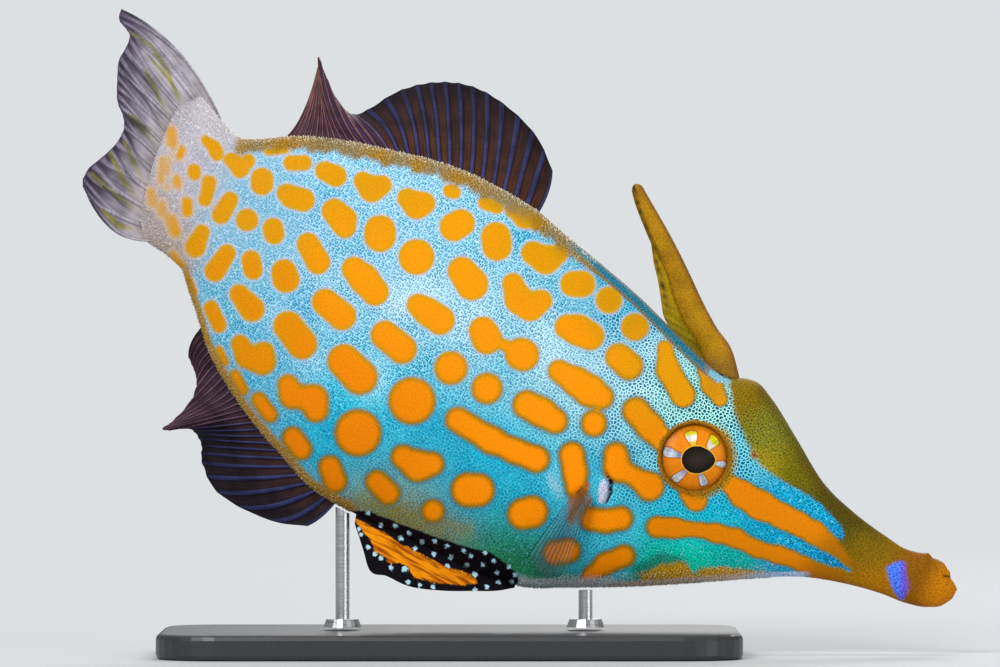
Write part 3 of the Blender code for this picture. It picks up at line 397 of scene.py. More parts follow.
# Sizes of what the materials are made of. The skin: its fine grains and its wide cells, the clouds that let
# them fade, flecks, the fraying of edges, and specks.
GRAINS_APART, CELLS_APART = 0.245, 0.34
CLOUD_SIZE, FLECK_SIZE, FRAY_SIZE, SPECK_SIZE = 3.0, 0.4, 0.28, 0.2
SPINE_GRAIN = 0.2
# Patches of a fin's web, and the joints of its rays.
BLOTCH_SIZE, JOINT_LENGTH = 1.6, 0.5
# Pebbles of the powder coat, and brush lines of the rods, drawn wide so that they show.
PEBBLE_SIZE, BRUSH_LINE = 0.25, 0.12

# The floor in metres: its radius, and where it starts to fade and is gone.
FLOOR_RADIUS, FLOOR_FADES = 0.5, (0.09, 0.42)
# Lights: name, place and size in metres, and watts. They all look at one place.
LIT_AT = (0, 0, 0.03)
LIGHTS = (
    ("key", (-0.28, -0.55, 0.42), 0.3, 3.9),
    ("side", (0.5, -0.35, 0.16), 0.3, 1.1),
    ("behind", (0.15, 0.55, 0.4), 0.4, 2.8),
    ("overhead", (0.0, 0.0, 0.75), 0.4, 2.2),
)


def linear(hexa):
    """An sRGB hex colour as linear red, green and blue."""
    s = np.array([int(hexa[i:i + 2], 16) for i in (1, 3, 5)]) / 255
    return np.where(s <= 0.04045, s / 12.92, ((s + 0.055) / 1.055) ** 2.4)


def rgba(hexa):
    return (*linear(hexa), 1.0)


def smooth(t):
    t = np.clip(t, 0, 1)
    return t * t * (3 - 2 * t)


def stretch(u, start, fade_in, end, fade_out):
    """1 from one place along the body to another, with a soft start and a soft end."""
    return smooth((u - start) / fade_in) * smooth((end - u) / fade_out)


def bell(distance, width):
    """1 at no distance, and close to 0 from two widths on."""
    return np.exp(-((distance / width) ** 2))


def swing(angle):
    """A wave between 0 and 1."""
    return 0.5 + 0.5 * np.sin(angle)


def blend(start, end, share):
    """Between two colours, hex or arrays, by an array of shares."""
    start = linear(start) if isinstance(start, str) else start
    end = linear(end) if isinstance(end, str) else end
    return start + (end - start) * np.asarray(share)[..., None]


def smooth_line(points):
    """A function that reads a smooth curve through points given as (place, value) or (place, x, y, ...)."""
    table = np.array(points, float)
    place, value = table[:, 0], table[:, 1:]
    slope = np.gradient(value, place, axis=0)

    def read(at):
        at = np.clip(np.asarray(at, float), place[0], place[-1])
        i = np.clip(np.searchsorted(place, at, side="right") - 1, 0, len(place) - 2)
        step = (place[i + 1] - place[i])[..., None]
        t = (at - place[i])[..., None] / step
        left = (1 + 2 * t) * (1 - t) ** 2 * value[i] + t * (1 - t) ** 2 * step * slope[i]
        right = t * t * (3 - 2 * t) * value[i + 1] + t * t * (t - 1) * step * slope[i + 1]
        found = left + right
        return found[..., 0] if found.shape[-1] == 1 else found

    return read


back = smooth_line(BACK_LINE)
belly = smooth_line(BELLY_LINE)
half_width = smooth_line(HALF_WIDTH)
waist = smooth_line(WAIST)
keeling = smooth_line(KEELING)
skin_over_fin = smooth_line(SKIN_OVER_FIN)


def to_row(u, y, v):
    """The fish's frame to the row's frame."""
    u, y, v = np.broadcast_arrays(*(np.asarray(a, float) for a in (u, y, v)))
    x = SNOUT_TIP_X - u * math.cos(PITCH) + v * math.sin(PITCH)
    z = SNOUT_TIP_Z + u * math.sin(PITCH) + v * math.cos(PITCH)
    return np.stack([x, y, z], axis=-1)


def to_fish(x, z):
    """u and v of a place in the row's frame."""
    behind, up = SNOUT_TIP_X - np.asarray(x, float), np.asarray(z, float) - SNOUT_TIP_Z
    return behind * math.cos(PITCH) + up * math.sin(PITCH), up * math.cos(PITCH) - behind * math.sin(PITCH)


def across(u, height):
    """Half the body's width at u, where height is -1 at the belly, 0 at the widest and 1 at the back."""
    fullness = np.sqrt(np.clip(1 - np.asarray(height, float) ** 2, 0, 1)) ** keeling(u)
    return KEEL_HALF_WIDTH + (half_width(u) - KEEL_HALF_WIDTH) * fullness


def flank(u, v):
    """How far the flank stands out from the middle plane."""
    low, high = belly(u), back(u)
    middle = low + waist(u) * (high - low)
    height = np.where(v > middle, (v - middle) / (high - middle), (v - middle) / (middle - low))
    return across(u, np.clip(height, -1, 1))


def on_drawing(points):
    """Places on the drawing of points in the row's frame, each side seen from its own side."""
    nearer = CAMERA_FAR / (CAMERA_FAR - np.abs(points[..., 1]))
    x = CAMERA_X + (points[..., 0] - CAMERA_X) * nearer
    z = CAMERA_Z + (points[..., 2] - CAMERA_Z) * nearer
    return (x - DRAWING_LEFT) / DRAWING_STEP, (DRAWING_TOP - z) / DRAWING_STEP


def from_drawing(across_at, down_at, out=0.0):
    """x and z in the row's frame of a place on the drawing that lies out from the middle plane."""
    nearer = CAMERA_FAR / (CAMERA_FAR - out)
    x = DRAWING_LEFT + across_at * DRAWING_STEP
    z = DRAWING_TOP - down_at * DRAWING_STEP
    return CAMERA_X + (x - CAMERA_X) / nearer, CAMERA_Z + (z - CAMERA_Z) / nearer


def nearest_on_line(x, y, start, end):
    """The share of a line's length at which each place is nearest to it, and how far off it is there."""
    (ax, ay), (bx, by) = start, end
    length = max((bx - ax) ** 2 + (by - ay) ** 2, 1e-9)
    t = np.clip(((x - ax) * (bx - ax) + (y - ay) * (by - ay)) / length, 0, 1)
    return t, np.hypot(x - ax - t * (bx - ax), y - ay - t * (by - ay))


def within_chain(x, y, chain):
    """How far inside a chain of circles, joined by tapering lengths, each place lies. Outside is negative.

    Where two lengths of a chain meet, the corner between them is filled in softly.
    """
    best = None
    links = list(zip(chain, chain[1:], strict=False)) or [(chain[0], chain[0])]
    for (ax, ay, ar), (bx, by, br) in links:
        t, gone = nearest_on_line(x, y, (ax, ay), (bx, by))
        inside = ar + (br - ar) * t - gone
        if best is None:
            best = inside
        else:
            fill = min(CORNER_FILL, ar / 2)
            share = np.clip(0.5 + (inside - best) / (2 * fill), 0, 1)
            best = best + (inside - best) * share + fill * share * (1 - share)
    return best


def within_any(x, y, chains):
    best = np.full(np.shape(x), -1e3)
    for chain in chains:
        best = np.maximum(best, within_chain(x, y, chain))
    return best


def within_outline(x, y, outline):
    """How far inside a closed outline each place lies. Outside is negative."""
    inside = np.zeros(np.shape(x), bool)
    near = np.full(np.shape(x), 1e3)
    for (ax, ay), (bx, by) in zip(outline, outline[1:] + outline[:1], strict=True):
        near = np.minimum(near, nearest_on_line(x, y, (ax, ay), (bx, by))[1])
        crosses = (ay > y) != (by > y)
        at = ax + (y - ay) * (bx - ax) / (by - ay if by != ay else 1e-9)
        inside ^= crosses & (x < at)
    return np.where(inside, near, -near)


def off(x, y, place):
    """How far each place on the drawing is from a certain one."""
    return np.hypot(x - place[0], y - place[1])


def shade_of_zones(x, y, zones, which):
    """A colour that passes smoothly between zones, each strongest at its own place."""
    total, colour = 0.0, 0.0
    for zone in zones:
        weight = np.exp(-((x - zone[1]) ** 2 + (y - zone[2]) ** 2) / zone[3] ** 2) + 1e-12
        total = total + weight
        colour = colour + weight[..., None] * linear(zone[which])
    return colour / total[..., None]


def painted_marks(points, u, v):
    """What the skin wears at each point: its colours, and how far inside each marking it lies."""
    x, y = on_drawing(points)
    from_back, from_belly = back(u) - v, v - belly(u)
    painted = {"cover": np.zeros((*x.shape, 3)), "cover_dots": np.zeros((*x.shape, 3))}
    amount = np.zeros(x.shape)
    spots = within_any(x, y, TAIL_SPOTS + FLANK_SPOTS + HEAD_SPOTS)
    on_spot = smooth((spots + 1) / 5)

    def lay(light, dark, much):
        """Lays a colour for the network and one for the dots over what is there."""
        nonlocal amount
        much = np.clip(much, 0, 1)
        total = much + amount * (1 - much)
        share = (much / np.maximum(total, 1e-6))[..., None]
        for key, colour in (("cover", light), ("cover_dots", dark)):
            colour = linear(colour) if isinstance(colour, str) else colour
            painted[key] = colour * share + painted[key] * (1 - share)
        amount = total

    def in_chain(chain, outside, over):
        """1 well inside a chain, fading over a length that starts so far outside it."""
        return smooth((within_chain(x, y, chain) + outside) / over)

    # A golden edge along the back, and a blue one with a brown line in it behind the spine.
    band = stretch(u, 47.5, 4, 85.5, 2)
    wavy = 0.2 * np.sin(u * 1.9) + 0.14 * np.sin(u * 4.3 + 1) + 0.08 * np.sin(u * 9.7)
    greyer = swing(u * 1.1 + 2.0 * np.sin(u * 0.37))
    lay(
        blend("#A87E10", "#948058", greyer), blend("#6E4A08", "#60502E", greyer),
        smooth((2.3 + wavy - from_back) / 1.4) * band * (1 - 0.35 * on_spot),
    )
    lay("#A6947A", "#74603E", 0.6 * smooth((0.5 - from_back) / 0.4) * band)
    shoulder = stretch(u, 29.5, 4, 52, 4)
    lay("#1E88A0", "#064A62", 0.8 * smooth((1.2 - from_back) / 0.5) * shoulder)
    lay("#A88C70", "#6C5444", 0.5 * smooth((0.3 - from_back) / 0.2) * shoulder)
    rearwards = smooth((u - 42) / 5)
    lay(
        blend("#8A7A58", "#A8820C", rearwards), blend("#5A4C3A", "#6E5008", rearwards),
        0.85 * bell(from_back - 1.0, 0.16 + 0.3 * smooth((u - 45) / 5)) * shoulder,
    )
    # A golden edge over the anal fin with a faint lilac line inside it.
    lay("#B8B0CC", "#9C90B4", 0.3 * bell(from_belly - 1.5, 0.25) * smooth((u - 57) / 2) * (1 - on_spot))
    lay("#B48A2C", "#805C18", 0.9 * smooth((1.4 - from_belly) / 0.9) * stretch(u, 56, 2, 85.3, 3))
    # The throat is speckled with gold behind and lilac white in front, over a dark green shade.
    lay("#2A9A7C", "#0E5A48", 0.7 * in_chain(THROAT_SHADE, 7, 12))
    gilt = within_any(x, y, THROAT_GILT)
    lay("#F2BC18", "#7A4C06", 0.95 * smooth((gilt + 3 + 1.5 * np.sin(x * 0.7) * np.sin(y * 0.9)) / 7))
    # The pale edge under the throat and the belly is its own white, painted brighter still as painted light,
    # since this edge faces down and gets little light.
    to_front = smooth((x - 735) / 25)
    lay(
        blend("#FFF8EC", "#DCE8FF", to_front), blend("#A8642C", "#6CA8DC", to_front),
        0.95 * smooth((0.9 - from_belly) / 0.6) * stretch(u, 13, 2, 34, 4),
    )
    lay("#FFFFFF", "#3C90B0", 0.85 * smooth((1.8 - from_belly) / 1.4) * stretch(u, 29, 3, 43, 2))
    lay("#B09418", "#5E5208", 0.5 * in_chain(FLAP_ROOT, 18, 26) * (1 - 0.7 * on_spot))
    # The olive forehead and the brown snout, browner at their upper edge, with the blue stripes left free.
    within = smooth((within_outline(x, y, FOREHEAD) + 8) / 14)
    within = np.maximum(within, smooth((within_outline(x, y, SNOUT) + 10) / 30))
    lay(
        shade_of_zones(x, y, HEAD_TONES, LIGHTER), shade_of_zones(x, y, HEAD_TONES, DARKER),
        within * (1 - smooth((within_any(x, y, SNOUT_STRIPES) + 2) / 4)),
    )
    lay("#5A4A0E", "#3C3208", 0.6 * smooth((2.0 - from_back) / 1.8) * stretch(u, 7, 4, 28, 1.5))
    # The patch behind the lips, blue behind and violet in front, and a pale streak below the spine's foot.
    to_violet = smooth((x - 897) / 8)
    lay(
        blend("#5C92FA", "#7C60DC", to_violet), blend("#1C42CC", "#4A30B0", to_violet),
        1.1 * smooth((within_outline(x, y, SNOUT_PATCH) + 2) / 3.5),
    )
    lay("#A8DCE8", "#2C88A4", 0.8 * in_chain(BROW_STREAK, 2, 4))
    # The ring of skin round the eye, and the dark socket inside it.
    from_eye = off(x, y, EYE_AT)
    ahead = smooth((x - EYE_AT[0] + 0.35 * (y - EYE_AT[1])) / 25)
    lay("#C0A01C", "#4A3A0A", 0.6 * smooth((47 - from_eye) / 6) * ahead)
    lay("#AC760A", "#784C04", 0.98 * smooth((38.8 - from_eye) / 2))
    lay("#8A5C10", "#6C450A", smooth((34.4 - from_eye) / 1.2))
    # The root of the pectoral fin with a pale patch behind it, the gill slit with its pale rim, the nostril,
    # and the mouth with the folds by its lips, which get painted shade in their creases.
    lay("#D8D2E0", "#8FB0C8", 0.4 * in_chain(BEHIND_PECTORAL, 5, 9))
    lay("#D07C10", "#8A4C0C", 0.7 * in_chain(PECTORAL_ROOT, 4, 8))
    lay("#ECF0FC", "#9CA4C4", 0.95 * in_chain(GILL_RIM, 2.5, 4))
    lay("#3A2630", "#20141C", 1.1 * in_chain(GILL_SLIT, 1.4, 2.2))
    from_nostril = off(x, y, NOSTRIL)
    lay("#C98A4A", "#8A5A2A", 0.8 * smooth((6 - from_nostril) / 4))
    lay("#4A3014", "#3A2410", 0.8 * smooth((2.2 - from_nostril) / 1.5))
    # Painted shade in the creases of the folds by the lips.
    lay("#7A4A06", "#683E06", 0.4 * smooth((within_any(x, y, LIP_FOLDS) + 1.5) / 3))
    lay("#5A3006", "#4A2806", 0.9 * in_chain(MOUTH, 1, 2))

    network, dots = shade_of_zones(x, y, GROUNDS, LIGHTER), shade_of_zones(x, y, GROUNDS, DARKER)
    lift = sum(
        much * np.exp(-((x - px) ** 2 + (y - py) ** 2) / (2 * reach**2)) for px, py, reach, much in PATCHES
    )
    pale, deep = np.clip(lift, 0, 1), np.clip(-lift, 0, 1)
    network = blend(blend(network, "#E0F4FC", pale), "#0CBEE2", 0.8 * deep)
    dots = blend(blend(dots, "#5CB8DA", 0.3 * pale), "#0078A2", deep)
    on_edge = 0.9 * smooth((2.8 - from_back) / 1.4) * band
    spot_tint = blend(shade_of_zones(x, y, SPOT_TINTS, LIGHTER), "#B4860A", on_edge)
    spot_tint = blend(spot_tint, "#B8A07C", 0.5 * smooth((182 - x) / 22))
    low = smooth((y + 0.5 * np.maximum(x - 600, 0) - 300) / 150)
    softness = 0.24 + 0.06 * smooth((260 - x) / 90) + 0.5 * smooth((200 - x) / 30)
    behind_eye = smooth((x - 545) / 85) * smooth((545 - y) / 60)
    coarse = np.maximum(behind_eye, 0.6 * smooth((y + 0.2 * x - 455) / 70)) * smooth((790 - x) / 50)
    deepened = deep - 0.6 * pale + 0.7 * smooth((y - 380) / 100) * smooth((680 - x) / 60)
    pearls = np.maximum(
        within_any(x, y, [((*pearl, PEARL_RADIUS),) for pearl in PEARLS]), within_chain(x, y, (BIG_PEARL,))
    )
    return {
        "network": network,
        "dots": dots,
        "spot_tint": spot_tint,
        **painted,
        "cover_amount": amount,
        "spot": spots * DRAWING_STEP,
        "spot_softness": softness + 0.1 * low * smooth((680 - x) / 40),
        "low": low,
        "rim_width": 0.5 + 0.15 * low - 0.32 * smooth((x - 630) / 50),
        "deep": np.clip(deepened, -0.6, 1),
        "coarse": coarse,
        "flap_black": within_outline(x, y, FLAP_BLACK) * DRAWING_STEP,
        "flap_orange": within_outline(x, y, FLAP_ORANGE) * DRAWING_STEP,
        "pearl": pearls * DRAWING_STEP,
    }


COLOUR_MARKS = (
    "network", "dots", "spot_tint", "cover", "cover_dots", "tint", "membrane", "ray", "spoke_tint",
)


def give(mesh, **marks):
    """Keeps values on the mesh's points, for its material to read."""
    for name, values in marks.items():
        values = np.asarray(values, float)
        if name in COLOUR_MARKS:
            values = values.reshape(-1, 3)
            kept = mesh.attributes.new(name, "FLOAT_COLOR", "POINT")
            kept.data.foreach_set("color", np.hstack([values, np.ones((len(values), 1))]).ravel())
        elif values.shape[-1] == 3 and values.ndim > 1:
            mesh.attributes.new(name, "FLOAT_VECTOR", "POINT").data.foreach_set("vector", values.ravel())
        else:
            mesh.attributes.new(name, "FLOAT", "POINT").data.foreach_set("value", values.ravel())


def new_piece(name, points, faces, material, replaced=(), unwrap=None):
    """A smooth piece from points in millimetres. unwrap holds one place on the bake map per face corner."""
    mesh = bpy.data.meshes.new(name)
    mesh.from_pydata((np.asarray(points, float).reshape(-1, 3) * MM).tolist(), [], faces)
    mesh.shade_smooth()
    mesh.materials.append(material)
    if unwrap is not None:
        mesh.uv_layers.new(name="OFBake").data.foreach_set("uv", np.asarray(unwrap, float).ravel())
    obj = bpy.data.objects.new(name, mesh)
    bpy.context.scene.collection.objects.link(obj)
    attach(obj, "root")
    if replaced:
        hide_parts(*replaced)
    return obj


def add(tree, kind, inputs=None, **settings):
    """Adds a node with its settings. Each input is a value, or another node's output to link."""
    node = tree.nodes.new(kind)
    for name, value in settings.items():
        setattr(node, name, value)
    for name, value in (inputs or {}).items():
        if isinstance(value, bpy.types.NodeSocket):
            tree.links.new(value, node.inputs[name])
        else:
            node.inputs[name].default_value = value
    return node


class Surface:
    """A material with a Principled shader whose sockets hold the settings, and ways to add nodes to it."""

    def __init__(self, name, **settings):
        self.material = bpy.data.materials.new(name)
        self.material.use_nodes = True
        self.tree = self.material.node_tree
        self.shader = self.tree.nodes["Principled BSDF"]
        for socket, value in settings.items():
            self.shader.inputs[socket.replace("_", " ")].default_value = value

    def feed(self, socket, source):
        self.tree.links.new(source, self.shader.inputs[socket])

    def add(self, kind, inputs=None, **settings):
        return add(self.tree, kind, inputs, **settings)

    def kept(self, *names):
        """What the points of a mesh keep under each of the names."""
        found = []
        for name in names:
            kind = "Vector" if name.endswith("_place") else "Color" if name in COLOUR_MARKS else "Fac"
            found.append(self.add("ShaderNodeAttribute", attribute_name=name).outputs[kind])
        return found

    def ramp(self, source, start, end, low=0.0, high=1.0, soft=True):
        kind = "SMOOTHSTEP" if soft else "LINEAR"
        inputs = {0: source, 1: start, 2: end, 3: low, 4: high}
        return self.add("ShaderNodeMapRange", inputs, interpolation_type=kind).outputs[0]

    def sums(self, kind, *values):
        return self.add("ShaderNodeMath", dict(enumerate(values)), operation=kind).outputs[0]

    def mix(self, share, under, over):
        """A colour laid over another by a share. Each is a hex or another node's output."""
        under, over = (rgba(colour) if isinstance(colour, str) else colour for colour in (under, over))
        return self.add("ShaderNodeMix", {0: share, 6: under, 7: over}, data_type="RGBA").outputs[2]

    def brightened(self, colour, by):
        return self.add("ShaderNodeVectorMath", {0: colour, "Scale": by}, operation="SCALE").outputs[0]

    def moved(self, place, scale, **inputs):
        return self.add("ShaderNodeMapping", {"Vector": place, "Scale": scale, **inputs}).outputs[0]

    def noise(self, place, size, detail):
        """Cloudy noise whose clouds have this size, in the units of the place."""
        inputs = {"Vector": place, "Scale": 1 / size, "Detail": detail}
        return self.add("ShaderNodeTexNoise", inputs).outputs[0]

    def roughen(self, height, strength, depth, **settings):
        """Relief of the surface, with its depth in millimetres."""
        inputs = {"Height": height, "Strength": strength, "Distance": depth * MM}
        self.feed("Normal", self.add("ShaderNodeBump", inputs, **settings).outputs[0])


def spiny_skin():
    """Filefish skin: a velvet of tiny spines. It looks soft and dull, with colour broken into fine grains."""
    skin = Surface("spiny_skin", Roughness=0.6, Specular_IOR_Level=0.06)
    ramp, sums, mix = skin.ramp, skin.sums, skin.mix
    place, network, dots, spot_tint, cover, cover_dots, cover_amount = skin.kept(
        "skin_place", "network", "dots", "spot_tint", "cover", "cover_dots", "cover_amount"
    )
    spot, spot_softness, low, rim_width, deep, coarse, flap_black, flap_orange, pearl = skin.kept(
        "spot", "spot_softness", "low", "rim_width", "deep", "coarse", "flap_black", "flap_orange", "pearl"
    )
    # Grains of dark pigment on the flank, some strong and some faint. Where the ground is deep they grow and
    # nearly meet.
    fine = skin.add(
        "ShaderNodeTexVoronoi", {"Vector": place, "Scale": 1 / GRAINS_APART, "Randomness": 0.65},
        voronoi_dimensions="2D",
    )
    cell = skin.add("ShaderNodeSeparateColor", {"Color": fine.outputs["Color"]}).outputs["Red"]
    grown = ramp(deep, -0.6, 1.0, -0.07, 0.14, False)
    shrunk = sums("SUBTRACT", fine.outputs["Distance"], grown)
    fine_dot = sums("MULTIPLY", ramp(shrunk, 0.52, 0.24), ramp(cell, 0.0, 0.7, 0.55, 1.0, False))
    # Round the eye and behind the head the dark cells are larger, in a net of pale lines. Low on the flank
    # they are mixed with the fine grains. Where the ground is deep the lines are about half as wide.
    net = skin.add(
        "ShaderNodeTexVoronoi", {"Vector": place, "Scale": 1 / CELLS_APART, "Randomness": 0.85},
        voronoi_dimensions="2D", feature="DISTANCE_TO_EDGE",
    )
    line_ends = ramp(deep, -0.2, 0.8, 0.1, 0.05, False), ramp(deep, -0.2, 0.8, 0.25, 0.14, False)
    wide_dot = ramp(net.outputs["Distance"], *line_ends)
    dot = skin.add("ShaderNodeMix", {0: coarse, 2: fine_dot, 3: wide_dot}).outputs[0]
    # Broad cloudiness lets the grains fade here and there. Paler flecks, bluish low down, lie on the lines
    # between them.
    cloud = skin.noise(place, CLOUD_SIZE, 4.0)
    fleck = skin.noise(place, FLECK_SIZE, 2.0)
    flecked = sums("MULTIPLY", ramp(fleck, 0.5, 0.66), ramp(low, 0.0, 1.0, 0.26, 0.5, False))
    lines = mix(flecked, network, mix(low, "#FFFFFF", "#70DCF2"))
    ground = mix(sums("MULTIPLY", dot, ramp(cloud, 0.3, 0.62, 0.75, 1.0)), lines, dots)
    # The edge of each marking is frayed by about a tenth of a millimetre, and follows the grains.
    fray = skin.noise(place, FRAY_SIZE, 3.0)
    frayed = sums("MULTIPLY_ADD", dot, -0.06, ramp(fray, 0.25, 0.75, -0.05, 0.11, False))
    spot = sums("ADD", spot, frayed)
    halo = sums("MULTIPLY", ramp(spot, -0.36, -0.05), ramp(rim_width, 0.3, 0.6, 0.3, 0.5, False))
    ground = mix(halo, ground, mix(low, "#C8C4D4", "#2A7088"))
    rim_tint = mix(low, "#D29A06", "#9A7808")
    rim_tint = mix(sums("MULTIPLY", dot, 0.5), rim_tint, mix(low, "#A08414", "#56560E"))
    speck = skin.noise(place, SPECK_SIZE, 2.0)
    tinted = skin.brightened(spot_tint, ramp(speck, 0.3, 0.7, 0.9, 1.06))
    within = sums("DIVIDE", sums("ADD", spot, -0.04), rim_width)
    orange = mix(ramp(within, 0.0, 1.0), rim_tint, tinted)
    colour = mix(ramp(sums("DIVIDE", spot, spot_softness), -0.6, 0.6), ground, orange)
    # Forehead, snout and edges lie over this. They end in a soft border, a little uneven from cell to cell.
    covered = ramp(cover_amount, sums("MULTIPLY", cell, 0.2), sums("MULTIPLY_ADD", cell, 0.2, 0.8))
    grains = sums("MULTIPLY_ADD", dot, 0.6, ramp(speck, 0.35, 0.65, 0.0, 0.45))
    colour = mix(covered, colour, mix(grains, cover, cover_dots))
    # The flap: black, with a streaked orange patch and small pearls of pale blue.
    colour = mix(ramp(sums("ADD", flap_black, frayed), -0.1, 0.1), colour, "#110C15")
    streaks = skin.noise(skin.moved(place, (0.4, 3.6, 1.0), Rotation=(0, 0, 0.18)), 1.0, 3.0)
    patch = sums("MULTIPLY_ADD", streaks, 0.5, sums("ADD", flap_orange, frayed))
    colour = mix(ramp(patch, 0.14, 0.34), colour, mix(ramp(streaks, 0.36, 0.6), "#A84E04", "#FF9A08"))
    pearly = sums("MULTIPLY_ADD", frayed, 1.6, pearl)
    skin.feed("Base Color", mix(ramp(pearly, -0.04, 0.1), colour, "#BDE8F8"))
    skin.roughen(sums("ADD", dot, speck), 0.3, 0.05)
    return skin.material


def between_rings(rings, around):
    """Four-sided faces between closed rings of points that follow each other."""
    faces = []
    for i in range(rings - 1):
        for j in range(around):
            a, b = i * around + j, i * around + (j + 1) % around
            faces.append((a, b, b + around, a + around))
    return faces


def skin_places():
    """u of each ring of the skin."""
    stretches = []
    for start, end, step in SKIN_STRETCHES:
        count = round((end - start) / step)
        stretches.append(start + (end - start) * np.arange(count) / count)
    return np.concatenate([*stretches, [SKIN_STRETCHES[-1][1]]])


def unroll(out, v, middle):
    """The height of each place on the skin as if it were peeled off and laid flat from its widest line."""
    step = np.hypot(np.diff(out, axis=1, prepend=out[:, :1]), np.diff(v, axis=1, prepend=v[:, :1]))
    gone = np.cumsum(step, axis=1)
    half, quarter = SKIN_AROUND // 2, SKIN_AROUND // 4
    left = middle[:, :half] - (gone[:, :half] - gone[:, quarter:quarter + 1])
    right = middle[:, half:] + (gone[:, half:] - gone[:, half + quarter:half + quarter + 1])
    return np.concatenate([left, right], axis=1)


def skin_grid():
    """Points of the whole skin, ring by ring from the snout's tip, with u, v and the place laid flat."""
    turn = 2 * math.pi * (np.arange(SKIN_AROUND) + 0.5) / SKIN_AROUND
    u = np.repeat(skin_places()[:, None], SKIN_AROUND, axis=1)
    height = np.cos(turn)[None, :]
    low, high = belly(u), back(u)
    middle = low + waist(u) * (high - low)
    v = middle + np.where(height > 0, height * (high - middle), height * (middle - low))
    side = np.sign(np.sin(turn))[None, :]
    out = across(u, height)
    # The stalk's skin runs out over the root of the tail fin and thins down onto it.
    reach = skin_over_fin(v) * smooth((u - STALK_END + 6) / 6)
    v = v + np.where(height > 0, height * (back(u + reach) - high), -height * (belly(u + reach) - low))
    out = out * (1 - 0.72 * smooth((u - STALK_END + 2.5) / 2.5))
    u = u + reach
    flat = np.stack([u + SIDES_APART * (side > 0), unroll(out, v, middle), 0 * u], axis=-1)
    x, y = on_drawing(to_row(u, side * out, v))
    # Each detail moves the skin out from, or in towards, the middle plane.
    from_eye = off(x, y, EYE_AT) * DRAWING_STEP
    out = out + RING_HEIGHT * bell(from_eye - RING_RADIUS, RING_WIDTH)
    out = out - SOCKET_DEPTH * smooth((IRIS_RADIUS + 0.05 - from_eye) / 0.3)
    out = out - 0.55 * smooth((within_chain(x, y, GILL_SLIT) + 1.5) / 3)
    out = out + 0.25 * smooth((within_chain(x, y, GILL_RIM) + 4) / 8)
    gone = off(x, y, NOSTRIL)
    out = out + 0.12 * bell(gone - 4.0, 1.8) - 0.25 * smooth((2.6 - gone) / 2)
    narrow = np.minimum(1, out / 1.5)
    out = out - 0.32 * narrow * smooth((within_chain(x, y, MOUTH) + 1.5) / 3)
    out = out - 0.14 * narrow * smooth((within_any(x, y, LIP_FOLDS) + 2) / 4)
    return to_row(u, side * out, v), u, v, flat


def make_skin(material):
    """One skin over snout, head, trunk and tail stalk, with no seam where the solids are parted."""
    points, u, v, flat = skin_grid()
    rings, around = u.shape
    faces, unwrap = between_rings(rings, around), []
    places = skin_places() / STALK_END
    for i in range(rings - 1):
        for j in range(around):
            low, high = j / around, (j + 1) / around
            unwrap += [(places[i], low), (places[i], high), (places[i + 1], high), (places[i + 1], low)]
    for ring, order in ((0, range(around - 1, -1, -1)), (rings - 1, range(around))):
        faces.append(tuple(ring * around + j for j in order))
        unwrap += [(places[ring], j / around) for j in order]
    skin = new_piece(
        "skin", points, faces, material, ("snout", "head", "trunk", "tail_stalk"), unwrap
    )
    marks = painted_marks(points, u, v)
    give(skin.data, skin_place=flat, **marks)
    return points, u, v, marks


